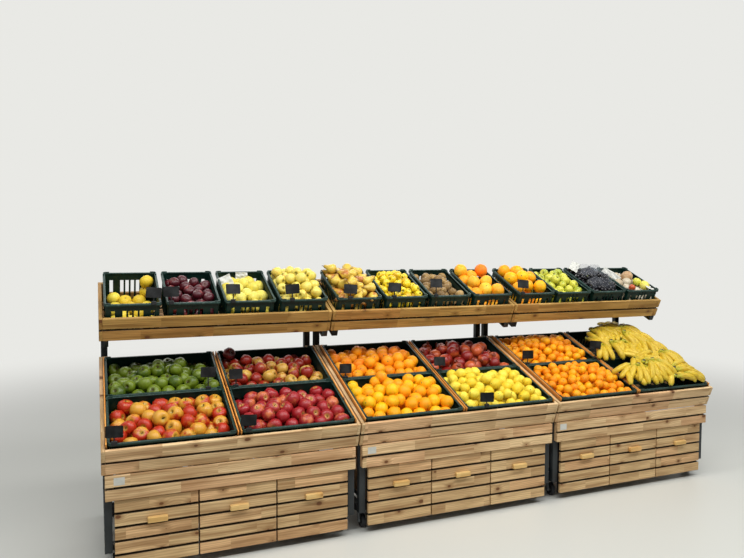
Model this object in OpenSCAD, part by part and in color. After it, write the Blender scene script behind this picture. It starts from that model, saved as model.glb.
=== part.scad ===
// Two-tier wooden produce display on casters, a run of like bays with crates of fruit.
// X runs along the display, the front faces -Y, and the floor is at Z = 0.

/* [Run] */
// Number of bays side by side
bays = 3; // [1:1:3]
// Gap between two bays
bay_gap = 8; // [6:1:60]
// Width of one bay over its side boards
bay_w = 1262; // [1150:2:1350]
// Depth of one bay from the tray's front edge to the back of the rear posts
bay_d = 905; // [880:5:1000]

/* [Boards] */
// Thickness of every board and slat
board_t = 18; // [15:1:22]
// Gap between two slats of a front
slat_gap = 8; // [4:0.5:10]

/* [Lower tray] */
// Slope of the tray
tray_rise = 20.4; // [16:0.2:22]
// Height of one of the two slats across the tray's front
tray_slat_h = 62; // [55:0.5:64]
// Thickness of the deck planks under the crates
deck_t = 15; // [12:1:18]
// Number of planks in the tray's deck
tray_planks = 8; // [5:1:8]
// Gap between two deck planks
plank_gap = 14; // [8:1:24]
// Thickness of the thin laths beside the crates
lath_t = 6; // [4:0.5:8]
// Height of the laths above the crate rims
lath_above = 3; // [0:1:8]
// Gap between the two middle laths
mid_gap = 10; // [6:1:16]

/* [Upper tier] */
// Slope of the upper tier
shelf_rise = 23.8; // [20:0.2:25]
// Distance of the upper tier's front behind the tray's front edge
shelf_front_y = 462; // [445:1:470]
// Height of the upper tier's front top edge above the floor
shelf_front_z = 1165; // [1140:1:1220]
// Height of one of the two slats across the upper front
shelf_slat_h = 61.5; // [54:0.5:64]
// Number of planks in the upper deck
shelf_planks = 4; // [3:1:5]

/* [Apron] */
// Height of one of the two apron slats
apron_slat_h = 54.5; // [44:0.5:64]
// How far the apron's face is behind the tray's front edge
apron_y = 37; // [34:1:37]
// How far the apron stops short of the bay's sides
apron_side = 15; // [10:1:20]

/* [Drawers] */
// Margin between the bay's side and the first drawer front
drawer_side = 55; // [52:1:62]
// Gap between two drawer fronts
drawer_gap = 7; // [6:0.5:14]
// Height of the drawer fronts' lower edge above the floor
drawer_z = 44; // [36:1:52]
// Height of one of the five drawer slats
drawer_slat_h = 57.2; // [54:0.1:66]
// Gap between the drawer fronts and the apron above them
drawer_top_gap = 6; // [5:0.5:12]
// How far the drawer faces are behind the tray's front edge
drawer_y = 50; // [48:1:50]
// Depth of the drawer box behind its front
drawer_depth = 600; // [480:5:640]
// Wall thickness of the drawer box
drawer_wall = 12; // [9:0.5:15]
// Thickness of the drawer's bottom
drawer_floor = 9; // [6:0.5:12]
// Height of the drawer box
drawer_box_h = 196; // [150:1:200]
// Thickness of the dark panel that the drawer slats are fixed to
back_t = 15; // [12:1:18]
// How far that panel shows below the lowest slat
back_drop = 5; // [0:1:8]
// Width of the handle block
handle_w = 110; // [80:1:150]
// Height of the handle block
handle_h = 33; // [20:1:36]
// How far the handle block stands out
handle_out = 24; // [16:1:30]

/* [Frame] */
// Side of the square steel tube
tube = 35; // [30:1:35]
// Distance of the tubes from the bay's sides
tube_side = 11; // [9:1:15]
// How far the front posts are behind the tray's front edge
post_y = 70; // [70:1:80]
// Side of the thin cross rails
rail = 25; // [20:1:28]
// Height of the base frame's underside above the floor
base_z = 110; // [108:1:112]

/* [Casters] */
// Wheel diameter
wheel_d = 75; // [65:1:75]
// Width of the wheel's tread
wheel_w = 24; // [20:1:26]
// Trail of the wheel behind its swivel axis
trail = 18; // [12:1:20]
// Radius of the axle
axle_r = 4; // [3:0.5:5]
// Radius of the swivel pin
king_r = 6; // [5:0.5:7]
// Thickness of the fork's plates
fork_t = 3; // [2:0.5:4]

/* [Crates] */
// Height of the lower crates
low_crate_h = 137; // [120:1:150]
// Upper end of the lower crates' slots below their rims
low_slot_below = 62; // [38:1:80]
// Height of the upper crates
top_crate_h = 186; // [150:1:190]
// Upper end of the upper crates' slots below their rims
top_slot_below = 43; // [30:1:60]
// Gap between two upper crates
top_crate_gap = 24; // [16:1:30]
// Wall thickness of a crate
crate_wall = 3; // [2:0.5:4]
// Width of the rim that stands out round a crate
crate_rim = 9; // [6:0.5:12]
// Height of that rim
crate_rim_h = 14; // [8:0.5:18]
// Corner radius of a crate
crate_r = 16; // [12:1:24]
// Width of one slot in a crate's wall
slot_w = 18; // [12:1:20]
// Distance from one slot to the next
slot_pitch = 28; // [26:1:34]

/* [Hidden] */
$fn = 32;
BAY_NODES = ["frame", "tray_deck", "tray_box", "apron", "shelf_frame", "shelf_box", "crates", "fruit",
    "drawer_left", "drawer_middle", "drawer_right",
    "fork_left", "wheel_left", "fork_right", "wheel_right"];

wood = [0.79, 0.63, 0.43];
pale_wood = [0.86, 0.72, 0.52];
dark_board = [0.10, 0.09, 0.08];
steel = [0.23, 0.26, 0.29];
zinc = [0.62, 0.64, 0.66];
tyre_grey = [0.16, 0.16, 0.17];
crate_green = [0.08, 0.20, 0.18];

run_w = bays * bay_w + (bays - 1) * bay_gap;
inside_w = bay_w - 2 * board_t;
cut = 1;          // how far a cutting solid runs past what it cuts
seat = 0.3;       // running gap between a sliding or turning piece and its seat
fit = 0.1;        // radial clearance of a pin or an axle in its bore
deck_clear = 0.5; // gap between the deck planks and the side boards
back_end_w = 40;  // width of a back board's raised ends
tube_mid = tube_side + tube / 2;    // the middle of the posts, from the bay's side
wide = bay_w - 2 * tube_mid;        // length of a cross rail, from post middle to post middle

// heights in front, from the drawers up: the apron, and the tray whose underside clears it
drawer_front_h = 5 * drawer_slat_h + 4 * slat_gap;
apron_h = 2 * apron_slat_h + slat_gap;
apron_z = drawer_z + drawer_front_h + drawer_top_gap;
tray_h = 2 * tray_slat_h + slat_gap;
apron_clear = 0.9;
tray_front_z = apron_z + apron_h + apron_clear + tray_h / cos(tray_rise) - apron_y * tan(tray_rise);

// tray, in its own sloped frame: y runs up the slope and z = 0 is the top of its boards;
// its lower rear corner clears the rear posts, and two rows of crates fill it
tray_post_gap = 4;
tray_len = (bay_d - tube - tray_post_gap - tray_h * sin(tray_rise)) / cos(tray_rise);
tray_deck_z = -tray_h;
lath_edge = 1;
lath_clear = 2;
low_crate_w = (inside_w - 4 * lath_t - 2 * lath_edge - 4 * lath_clear - mid_gap) / 2;
low_front_gap = 4;
low_rear_gap = 30;
low_row_gap = 5;
low_crate_y = board_t + low_front_gap;
low_crate_d = (tray_len - 2 * board_t - low_front_gap - low_rear_gap - low_row_gap) / 2;
low_crate_step = low_crate_w + 2 * lath_clear + 2 * lath_t + mid_gap;
low_crate_x = board_t + lath_edge + lath_t + lath_clear;
tray_under_rear = tray_front_z + (bay_d - tube) * tan(tray_rise) - tray_h / cos(tray_rise);

// upper tier, in its own sloped frame; its lower rear corner lies over the posts' back faces
shelf_h = 2 * shelf_slat_h + slat_gap;
shelf_back_gap = 2;
shelf_len = (bay_d - shelf_back_gap - shelf_front_y - shelf_h * sin(shelf_rise)) / cos(shelf_rise);
shelf_deck_z = -shelf_h;
top_margin = 7;
top_front_gap = 6;
top_rear_gap = 2;
top_crate_w = (inside_w - 2 * top_margin - 3 * top_crate_gap) / 4;
top_crate_d = shelf_len - 2 * board_t - top_front_gap - top_rear_gap;
top_crate_y = board_t + top_front_gap;
top_crate_x = board_t + top_margin;

// walls of a crate
crate_floor = 4;
slot_above = 26;   // lower end of the slots above the crate's underside
lug_h = 6;         // stacking lugs that stand on the rim's corners
lug_len = 34;
low_blind = 0;     // slots left out of the end walls, counted in half pitches from the middle; 0 leaves none
top_blind = 5;

// cross tubes
front_cross_z = apron_z + apron_slat_h + slat_gap / 2 - tube / 2;
rear_cross_z = tray_under_rear - 3 * tube;

// drawers
drawer_w = (bay_w - 2 * drawer_side - 2 * drawer_gap) / 3;
box_inset = 20;   // drawer box set in from its front's ends
box_y = drawer_y + board_t + back_t;
runner_t = 6;
runner_w = 16;
guide_t = 3;
guide_h = 18;
guide_gap = 2;
front_rail_y = box_y + drawer_wall + 6;
rear_rail_y = bay_d - tube / 2 - rail / 2;
box_z = base_z + rail + runner_t + seat;

// casters: the swivel axis is held inside the bay by the wheel's turning circle
wheel_r = wheel_d / 2;
fork_gap = 5;     // between the tyre and the fork's legs
turn_r = sqrt(pow(trail + wheel_r, 2) + pow(wheel_w / 2, 2));
caster_x = turn_r - bay_gap / 2 + 5.2;
front_caster_y = box_y + turn_r + 28;
rear_caster_y = bay_d - tube - 32;
plate_t = 4;
plate_half = 38;
crown_t = 5;
crown_z = base_z - plate_t - seat - crown_t;

// what each crate holds, bay by bay: [edge above the rim, crown above that edge, colour]
LOW_FILL = [
    [[-6, 42, [0.87, 0.45, 0.22]], [-6, 46, [0.72, 0.16, 0.20]],
     [-14, 54, [0.45, 0.66, 0.18]], [-16, 56, [0.68, 0.16, 0.12]]],
    [[-6, 56, [0.97, 0.66, 0.12]], [-6, 80, [0.95, 0.85, 0.22]],
     [-14, 64, [0.96, 0.50, 0.10]], [-16, 60, [0.66, 0.12, 0.10]]],
    [[-6, 74, [0.96, 0.48, 0.08]], [30, 106, [0.93, 0.82, 0.22]],
     [-10, 84, [0.95, 0.45, 0.08]], [30, 96, [0.93, 0.82, 0.22]]]];
TOP_FILL = [
    [[-118, 12, [0.92, 0.80, 0.25]], [-44, 62, [0.42, 0.10, 0.13]],
     [-36, 54, [0.92, 0.88, 0.45]], [-24, 120, [0.80, 0.78, 0.32]]],
    [[-24, 142, [0.80, 0.68, 0.35]], [-30, 84, [0.86, 0.80, 0.30]],
     [-40, 58, [0.45, 0.33, 0.18]], [-44, 92, [0.94, 0.58, 0.16]]],
    [[-34, 80, [0.95, 0.50, 0.12]], [-32, 78, [0.72, 0.72, 0.22]],
     [-24, 96, [0.10, 0.08, 0.13]], [-36, 42, [0.80, 0.72, 0.50]]]];
low_peak = 0.6;   // where a heap is highest, as a share of its depth from the front
top_peak = 0.68;
fill_clear = 1;
arch_steps = 4;
heap_steps = 10;

function bay_x(b) = (b - 1) * (bay_w + bay_gap) - run_w / 2;

// A point of the upper tier's side, along the slope and below its top edge, as [y, z] of the bay
function below_shelf(along, below) = [shelf_front_y + along * cos(shelf_rise) + below * sin(shelf_rise),
    shelf_front_z + along * sin(shelf_rise) - below * cos(shelf_rise)];
// Height of the arms' top face at y, or of a face that lies below it
function arm_z(y, below) = shelf_front_z + (y - shelf_front_y) * tan(shelf_rise)
    - (shelf_h + below) / cos(shelf_rise);

function drawer_x(k) = drawer_side + k * (drawer_w + drawer_gap);

// Puts a bay's own frame, with x from its left side and y from its front edge, into the run
module in_bay(b) {
    translate([bay_x(b), -bay_d / 2, 0]) children();
}

// The tray's sloped frame
module on_tray() {
    translate([0, 0, tray_front_z]) rotate([tray_rise, 0, 0]) children();
}

// The upper tier's sloped frame
module on_shelf() {
    translate([0, shelf_front_y, shelf_front_z]) rotate([shelf_rise, 0, 0]) children();
}

// A pair of like solids, one at each side of the bay
module both_sides() {
    children();
    translate([bay_w, 0, 0]) mirror([1, 0, 0]) children();
}

// A stack of slats with even gaps, its lower front left corner at the origin
module slats(count, width, height) {
    for (k = [0:count - 1]) translate([0, 0, k * (height + slat_gap)]) cube([width, board_t, height]);
}

// A rounded outline with its corner at the origin
module rounded(w, d, r) {
    translate([r, 0]) square([w - 2 * r, d]);
    translate([0, r]) square([w, d - 2 * r]);
    for (x = [r, w - r], y = [r, d - r]) translate([x, y]) circle(r);
}

// Front and side slats of a sloped tray and its low back board, whose raised ends hold the upper side slats
module slatted_box(length, slat_h) {
    height = 2 * slat_h + slat_gap;
    both_sides() {
        translate([board_t, 0, -height]) rotate([0, 0, 90]) slats(2, length, slat_h);
        translate([board_t, length - board_t, -height]) cube([back_end_w, board_t, height]);
    }
    translate([board_t, 0, -height]) slats(2, inside_w, slat_h);
    translate([board_t, length - board_t, -height]) cube([inside_w, board_t, slat_h + slat_gap]);
}

// Planks across a sloped tray, their top faces deck_t above the underside
module planks(count, length) {
    first = board_t + deck_clear;
    plank_w = (length - 2 * first - (count - 1) * plank_gap) / count;
    for (k = [0:count - 1]) {
        translate([first, first + k * (plank_w + plank_gap), 0])
            cube([inside_w - 2 * deck_clear, plank_w, deck_t]);
    }
}

// A slotted crate with a standing-out rim and stacking lugs, its lower front left corner at the origin
module crate(w, d, h, slot_below, blind) {
    in_w = w - 2 * crate_rim;
    in_d = d - 2 * crate_rim;
    slot_h = h - slot_above - slot_below;
    across = floor((in_w - 2 * crate_r) / slot_pitch);
    along = floor((in_d - 2 * crate_r) / slot_pitch);
    difference() {
        union() {
            translate([crate_rim, crate_rim, 0]) linear_extrude(h)
                rounded(in_w, in_d, crate_r - crate_rim / 2);
            translate([0, 0, h - crate_rim_h]) linear_extrude(crate_rim_h) rounded(w, d, crate_r);
            translate([0, 0, h]) linear_extrude(lug_h) difference() {
                rounded(w, d, crate_r);
                translate([lug_len, -cut]) square([w - 2 * lug_len, d + 2 * cut]);
                translate([-cut, lug_len]) square([w + 2 * cut, d - 2 * lug_len]);
            }
        }
        translate([crate_rim + crate_wall, crate_rim + crate_wall, crate_floor]) linear_extrude(h + lug_h)
            rounded(in_w - 2 * crate_wall, in_d - 2 * crate_wall, crate_r - crate_rim);
        for (k = [0:across - 1]) if (blind == 0 || abs(2 * k - (across - 1)) != blind) {
            x = w / 2 + (k - (across - 1) / 2) * slot_pitch - slot_w / 2;
            translate([x, crate_rim - cut, slot_above]) cube([slot_w, in_d + 2 * cut, slot_h]);
        }
        for (k = [0:along - 1]) {
            y = d / 2 + (k - (along - 1) / 2) * slot_pitch - slot_w / 2;
            translate([crate_rim - cut, y, slot_above]) cube([in_w + 2 * cut, slot_w, slot_h]);
        }
    }
}

// Half of an arched outline over a span, as points from the middle to its side
function arch(half, crown) = let (r = (half * half + crown * crown) / (2 * crown))
    [for (k = [0:arch_steps]) let (x = half * k / arch_steps) [x, crown - r + sqrt(r * r - x * x)]];

// Outline of a heap seen from its side, from the front to the rear, highest at a share of that depth
function heap_line(depth, crown, peak) = [for (k = [0:heap_steps])
    let (share = k / heap_steps, climb = share < peak ? share / peak : (1 - share) / (1 - peak))
    [share * depth, crown * sin(90 * climb)]];

// A wall with an outline of its own, from [0, 0] to [span, 0], on top of its edges; it runs along x
module outlined(line, edge_h, length) {
    span = line[len(line) - 1][0];
    rotate([90, 0, 90]) linear_extrude(length) polygon(concat(
        [[-cut, 0], [-cut, edge_h]], [for (point = line) [point[0], edge_h + point[1]]],
        [[span + cut, edge_h], [span + cut, 0]]));
}

// The goods in a crate: a closed mound that stands on the crate's floor and is crowned both ways
module mound(w, d, h, fill, peak) {
    side = crate_rim + crate_wall + fill_clear;
    in_w = w - 2 * side;
    in_d = d - 2 * side;
    edge_h = h + fill[0] - crate_floor;
    across = arch(in_w / 2, fill[1]);
    color(fill[2]) translate([side, side, crate_floor]) intersection() {
        linear_extrude(edge_h + fill[1]) rounded(in_w, in_d, crate_r - crate_rim);
        outlined(heap_line(in_d, fill[1], peak), edge_h, w);
        translate([in_w, 0, 0]) rotate([0, 0, 90]) outlined(concat(
            [for (k = [arch_steps:-1:1]) [in_w / 2 - across[k][0], across[k][1]]],
            [for (point = across) [in_w / 2 + point[0], point[1]]]), edge_h, d);
    }
}

// Places of the lower and upper crates in their sloped frames
module each_low_crate() {
    for (row = [0:1], column = [0:1]) {
        $crate = row * 2 + column;
        translate([low_crate_x + column * low_crate_step, low_crate_y + row * (low_crate_d + low_row_gap),
            tray_deck_z + deck_t]) children();
    }
}

module each_top_crate() {
    for (column = [0:3]) {
        $crate = column;
        translate([top_crate_x + column * (top_crate_w + top_crate_gap), top_crate_y, shelf_deck_z + deck_t])
            children();
    }
}

// Welded base frame: posts, rails, caster plates and drawer runners
module frame() {
    color(steel) difference() {
        union() {
            both_sides() side_frame();
            translate([tube_mid, front_rail_y, base_z]) cube([wide, rail, rail]);
            translate([tube_mid, rear_rail_y, base_z]) cube([wide, rail, rail]);
            translate([tube_mid, post_y, front_cross_z]) cube([wide, tube, tube]);
            translate([tube_mid, bay_d - tube, rear_cross_z]) cube([wide, tube, tube]);
            for (k = [0:2]) translate([drawer_x(k) + box_inset, 0, base_z + rail]) drawer_runners();
        }
        for (x = [caster_x, bay_w - caster_x], y = [front_caster_y, rear_caster_y]) {
            translate([x, y, base_z - plate_t - cut]) cylinder(h = plate_t + 2 * cut, r = king_r + fit);
        }
    }
}

// One side of the base frame, with the sloped rail that carries the tray
module side_frame() {
    translate([tube_side, post_y, base_z]) cube([tube, tube, tray_front_z - tray_h - base_z]);
    translate([tube_side, bay_d - tube, base_z]) cube([tube, tube, tray_under_rear - base_z]);
    translate([tube_side, post_y, base_z]) cube([tube, bay_d - tube - post_y, tube]);
    intersection() {
        on_tray() translate([tube_side, 0, tray_deck_z - tube]) cube([tube, bay_d * 2, tube]);
        translate([tube_side, post_y, 0]) cube([tube, bay_d - post_y, tray_under_rear]);
    }
    for (y = [front_caster_y, rear_caster_y]) {
        translate([tube_side, y - plate_half, base_z - plate_t])
            cube([caster_x + plate_half - tube_side, 2 * plate_half, plate_t]);
    }
}

// Two angle runners that a drawer box slides on, from the box's left side
module drawer_runners() {
    box_w = drawer_w - 2 * box_inset;
    length = rear_rail_y + rail - front_rail_y;
    for (side = [0, 1]) translate([side * box_w, front_rail_y, 0]) mirror([side, 0, 0]) {
        translate([-guide_gap - guide_t, 0, 0]) cube([guide_gap + guide_t + runner_w, length, runner_t]);
        translate([-guide_gap - guide_t, 0, 0]) cube([guide_t, length, runner_t + guide_h]);
    }
}

// Deck planks of the tray, with the thin laths that stand on them beside the crates
module tray_deck() {
    lath_h = low_crate_h + lath_above;
    color(wood) on_tray() translate([0, 0, tray_deck_z]) {
        planks(tray_planks, tray_len);
        for (x = [board_t + lath_edge, bay_w / 2 - mid_gap / 2 - lath_t,
                  bay_w / 2 + mid_gap / 2, bay_w - board_t - lath_edge - lath_t]) {
            translate([x, low_crate_y, deck_t]) cube([lath_t, 2 * low_crate_d + low_row_gap, lath_h]);
        }
    }
}

// Side boards, back board and the two front slats of the tray
module tray_box() {
    color(wood) on_tray() slatted_box(tray_len, tray_slat_h);
}

// The two slats above the drawers, on battens against the posts
module apron() {
    apron_w = bay_w - 2 * apron_side;
    batten_w = 40;
    color(wood) translate([apron_side, apron_y, apron_z]) {
        slats(2, apron_w, apron_slat_h);
        for (x = [0, (apron_w - batten_w) / 2, apron_w - batten_w]) {
            translate([x, board_t, 0]) cube([batten_w, post_y - apron_y - board_t, apron_h]);
        }
    }
}

// Slatted front, box and block handle of one drawer, from the front's lower left corner
module drawer() {
    box_w = drawer_w - 2 * box_inset;
    color(wood) slats(5, drawer_w, drawer_slat_h);
    color(dark_board) translate([0, board_t, -back_drop])
        cube([drawer_w, back_t, drawer_front_h + back_drop]);
    color(pale_wood) translate([box_inset, board_t + back_t, box_z - drawer_z]) difference() {
        cube([box_w, drawer_depth, drawer_box_h]);
        translate([drawer_wall, drawer_wall, drawer_floor])
            cube([box_w - 2 * drawer_wall, drawer_depth - 2 * drawer_wall, drawer_box_h]);
    }
    color(pale_wood) translate([(drawer_w - handle_w) / 2, -handle_out, 3 * (drawer_slat_h + slat_gap)])
        cube([handle_w, handle_out, handle_h]);
}

module drawer_at(k) {
    translate([drawer_x(k), drawer_y, drawer_z]) drawer();
}

// Rear uprights, arms and cross rails that carry the upper tier
module shelf_frame() {
    color(steel) {
        both_sides() translate([tube_side, 0, 0]) rotate([90, 0, 90]) linear_extrude(tube) polygon([
            below_shelf(0, shelf_h + tube), below_shelf(0, shelf_h),
            [bay_d, arm_z(bay_d, 0)], [bay_d, tray_under_rear],
            [bay_d - tube, tray_under_rear], [bay_d - tube, arm_z(bay_d - tube, tube)]]);
        for (share = [0.25, 0.75]) on_shelf() {
            translate([tube_mid, share * shelf_len - rail / 2, shelf_deck_z - rail]) cube([wide, rail, rail]);
        }
    }
}

// Boards, front slats and deck of the upper tier
module shelf_box() {
    color(wood) on_shelf() {
        slatted_box(shelf_len, shelf_slat_h);
        translate([0, 0, shelf_deck_z]) planks(shelf_planks, shelf_len);
    }
}

module crates() {
    color(crate_green) {
        on_tray() each_low_crate() crate(low_crate_w, low_crate_d, low_crate_h, low_slot_below, low_blind);
        on_shelf() each_top_crate() crate(top_crate_w, top_crate_d, top_crate_h, top_slot_below, top_blind);
    }
}

module fruit(b) {
    low = LOW_FILL[(b - 1) % len(LOW_FILL)];
    top = TOP_FILL[(b - 1) % len(TOP_FILL)];
    on_tray() each_low_crate() mound(low_crate_w, low_crate_d, low_crate_h, low[$crate], low_peak);
    on_shelf() each_top_crate() mound(top_crate_w, top_crate_d, top_crate_h, top[$crate], top_peak);
}

// Caster fork, its swivel axis on the z axis and the wheel towards -Y
module caster_fork() {
    leg_x = wheel_w / 2 + fork_gap;
    crown_r = 24;
    head_t = 4;
    tab = [20, 30, 3];
    color(zinc) {
        translate([0, 0, crown_z]) cylinder(h = crown_t, r = crown_r);
        translate([0, 0, crown_z]) cylinder(h = base_z + seat - crown_z, r = king_r);
        translate([0, 0, base_z + seat]) cylinder(h = head_t, r = king_r + 4);
        for (x = [-leg_x - fork_t, leg_x]) translate([x, 0, 0]) fork_leg();
        translate([-leg_x, -trail, wheel_r]) rotate([0, 90, 0]) cylinder(h = 2 * leg_x, r = axle_r);
        translate([-tab[0] / 2, -crown_r - tab[1] / 2, crown_z + 1]) cube(tab);
    }
}

// One leg: a plate that narrows from the crown to a round end at the axle
module fork_leg() {
    foot_r = 11;
    top_half = 15;
    rotate([90, 0, 90]) linear_extrude(fork_t) {
        translate([-trail, wheel_r]) circle(foot_r);
        polygon([[-trail - foot_r, wheel_r], [-trail + foot_r, wheel_r], [top_half, crown_z + crown_t],
            [-top_half, crown_z + crown_t]]);
    }
}

// Caster wheel with a dished face and a hub that runs between the fork's legs
module caster_wheel() {
    half_w = wheel_w / 2;
    hub_r = 11;
    dish = 3;
    tread_h = 7;
    face = [[axle_r + fit, half_w + fork_gap - seat], [hub_r, half_w + fork_gap - seat],
        [hub_r + 2, half_w - dish], [wheel_r - tread_h - 2, half_w - dish], [wheel_r - tread_h, half_w],
        [wheel_r - 2, half_w], [wheel_r, half_w - dish]];
    color(tyre_grey) translate([0, -trail, wheel_r]) rotate([0, 90, 0]) rotate_extrude($fn = 64)
        polygon(concat(face, [for (k = [len(face) - 1:-1:0]) [face[k][0], -face[k][1]]]));
}

module at_caster(right, y) {
    translate([right ? bay_w - caster_x : caster_x, y, 0]) children();
}

module front_fork(right) {
    at_caster(right, front_caster_y) caster_fork();
}

module front_wheel(right) {
    at_caster(right, front_caster_y) caster_wheel();
}

module at_rear_casters() {
    for (b = [1:bays], right = [false, true]) in_bay(b) at_caster(right, rear_caster_y) children();
}

for (b = [1:bays]) {
    in_bay(b) frame();
    in_bay(b) tray_deck();
    in_bay(b) tray_box();
    in_bay(b) apron();
    in_bay(b) shelf_frame();
    in_bay(b) shelf_box();
    in_bay(b) crates();
    in_bay(b) fruit(b);
    in_bay(b) drawer_at(0);
    in_bay(b) drawer_at(1);
    in_bay(b) drawer_at(2);
    in_bay(b) front_fork(false);
    in_bay(b) front_wheel(false);
    in_bay(b) front_fork(true);
    in_bay(b) front_wheel(true);
}
at_rear_casters() caster_fork();  // rear_forks
at_rear_casters() caster_wheel();  // rear_wheels
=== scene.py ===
import math

import bmesh
import bpy
import numpy as np
from mathutils import Matrix, Vector


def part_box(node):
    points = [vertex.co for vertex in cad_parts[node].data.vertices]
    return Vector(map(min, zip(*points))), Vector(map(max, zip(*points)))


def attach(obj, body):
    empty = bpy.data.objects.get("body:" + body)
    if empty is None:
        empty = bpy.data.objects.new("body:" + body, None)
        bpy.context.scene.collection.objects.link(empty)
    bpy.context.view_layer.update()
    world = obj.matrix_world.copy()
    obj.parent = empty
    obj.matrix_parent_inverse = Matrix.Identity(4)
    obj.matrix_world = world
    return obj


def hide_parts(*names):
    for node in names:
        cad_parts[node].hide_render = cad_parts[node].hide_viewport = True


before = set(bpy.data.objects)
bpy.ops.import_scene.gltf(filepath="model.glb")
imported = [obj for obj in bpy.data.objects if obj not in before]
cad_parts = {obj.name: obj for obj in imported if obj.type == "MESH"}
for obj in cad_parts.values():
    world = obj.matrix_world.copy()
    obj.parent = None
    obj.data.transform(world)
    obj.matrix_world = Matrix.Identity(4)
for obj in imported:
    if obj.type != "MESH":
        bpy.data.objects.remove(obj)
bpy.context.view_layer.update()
scene = bpy.context.scene
bays = range(1, 1 + sum(name.endswith("_tray_box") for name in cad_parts))
print("frame loaded,", len(bays), "bays")


# Sizes that every piece shares, in metres, as in the part's source; shrunk is how much a row's slats have dried
run = {"board": 0.018, "slatGap": 0.008, "deck": 0.015, "shrunk": 0.0026}


# A tier's slope and boards; its length up the slope comes from the box of its boards
def makeTier(node, rise, slat, planks):
    low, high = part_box(node)
    height = 2 * slat + run["slatGap"]
    length = (high.y - low.y - height * math.sin(rise)) / math.cos(rise)
    return {"rise": rise, "slat": slat, "planks": planks, "height": height, "length": length}


tray = makeTier("bay1_tray_box", math.radians(20.4), 0.062, 8)
shelf = makeTier("bay1_shelf_box", math.radians(23.8), 0.0615, 4)


def bayWidth(bay):
    low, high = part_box(f"bay{bay}_tray_box")
    return high.x - low.x


def colour(red, green, blue):  # a colour as it is seen, 0 to 255, turned into the linear one that shaders take
    seen = [channel / 255 for channel in (red, green, blue)]
    return (*[c / 12.92 if c <= 0.04045 else ((c + 0.055) / 1.055) ** 2.4 for c in seen], 1.0)


# Short calls for adding nodes to a tree and joining their sockets
class Graph:
    def __init__(self, tree):
        self.tree = tree

    def feed(self, socket, value):
        if isinstance(value, bpy.types.NodeSocket):
            self.tree.links.new(value, socket)
        else:
            socket.default_value = value

    def feedAll(self, sockets, values):
        for key, value in values.items():
            self.feed(sockets[key], value)

    def add(self, kind, inputs=None, **settings):
        node = self.tree.nodes.new(kind)
        for name, value in settings.items():
            setattr(node, name, value)
        self.feedAll(node.inputs, inputs or {})
        return node

    def math(self, operation, *values):
        return self.add("ShaderNodeMath", dict(enumerate(values)), operation=operation).outputs[0]

    def times(self, first, second):
        return self.math("MULTIPLY", first, second)

    def plus(self, first, second):
        return self.math("ADD", first, second)

    def timesPlus(self, first, second, third):
        return self.math("MULTIPLY_ADD", first, second, third)

    def vector(self, operation, *values, scale=None):
        node = self.add("ShaderNodeVectorMath", dict(enumerate(values)), operation=operation)
        if scale is not None:
            self.feed(node.inputs["Scale"], scale)
        return node.outputs["Value" if operation == "LENGTH" else "Vector"]

    def stretched(self, place, x, y, z):  # a place with each axis scaled by its own factor
        return self.vector("MULTIPLY", place, (x, y, z))

    def shifted(self, place, by, share):  # a place moved by so much of a vector
        return self.vector("ADD", place, self.vector("SCALE", by, scale=share))

    def split(self, place):
        return self.add("ShaderNodeSeparateXYZ", {0: place}).outputs

    def joined(self, x, y, z):
        return self.add("ShaderNodeCombineXYZ", {0: x, 1: y, 2: z}).outputs[0]

    def fromAxis(self, x, y):
        return self.vector("LENGTH", self.joined(x, y, 0.0))

    def step(self, value, low, high, start=0.0, end=1.0):  # a smooth step from start to end
        given = {"Value": value, "From Min": low, "From Max": high, "To Min": start, "To Max": end}
        return self.add("ShaderNodeMapRange", given, interpolation_type="SMOOTHSTEP").outputs["Result"]

    def mix(self, share, first, second, blend="MIX"):
        given = {0: share, 6: first, 7: second}
        return self.add("ShaderNodeMix", given, data_type="RGBA", blend_type=blend).outputs[2]

    def noise(self, place, scale, detail=2.0, rough=0.5):
        given = {"Vector": place, "Scale": scale, "Detail": detail, "Roughness": rough}
        return self.add("ShaderNodeTexNoise", given).outputs["Fac"]

    def cells(self, place, scale):  # distance from the nearest of scattered points
        return self.add("ShaderNodeTexVoronoi", {"Vector": place, "Scale": scale}).outputs["Distance"]

    def read(self, name, kind="Fac"):  # an attribute of the piece
        return self.add("ShaderNodeAttribute", attribute_name=name).outputs[kind]

    def here(self):  # the point of the piece that is shaded
        return self.add("ShaderNodeTexCoord").outputs["Object"]


def newGroup(name, kind, inputs, outputs):
    tree = bpy.data.node_groups.new(name, kind)
    for label, socket, *value in inputs:
        made = tree.interface.new_socket(name=label, in_out="INPUT", socket_type="NodeSocket" + socket)
        if value:
            made.default_value = value[0]
    for label, socket in outputs:
        tree.interface.new_socket(name=label, in_out="OUTPUT", socket_type="NodeSocket" + socket)
    graph = Graph(tree)
    return graph, graph.add("NodeGroupInput").outputs, graph.add("NodeGroupOutput").inputs


def useGroup(graph, group, inputs):
    node = graph.add("ShaderNodeGroup", node_tree=group)
    graph.feedAll(node.inputs, inputs)
    return node.outputs


# A material starts as a Principled shader and the graph that feeds it
def newMaterial(name, settings):
    material = bpy.data.materials.new(name)
    material.use_nodes = True
    graph = Graph(material.node_tree)
    shader = material.node_tree.nodes["Principled BSDF"]
    graph.feedAll(shader.inputs, settings)
    return material, graph, shader


# Joins a surface to its shader; the surface's height, from 0 to 1, becomes bump of that depth in metres
def dress(graph, shader, surface, depth):
    normal = graph.add("ShaderNodeBump", {"Height": surface["Height"], "Distance": depth}).outputs[0]
    graph.feedAll(shader.inputs, {"Base Color": surface["Color"], "Roughness": surface["Roughness"],
                                  "Normal": normal})


surfaceOutputs = [("Color", "Color"), ("Roughness", "Float"), ("Height", "Float")]

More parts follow.
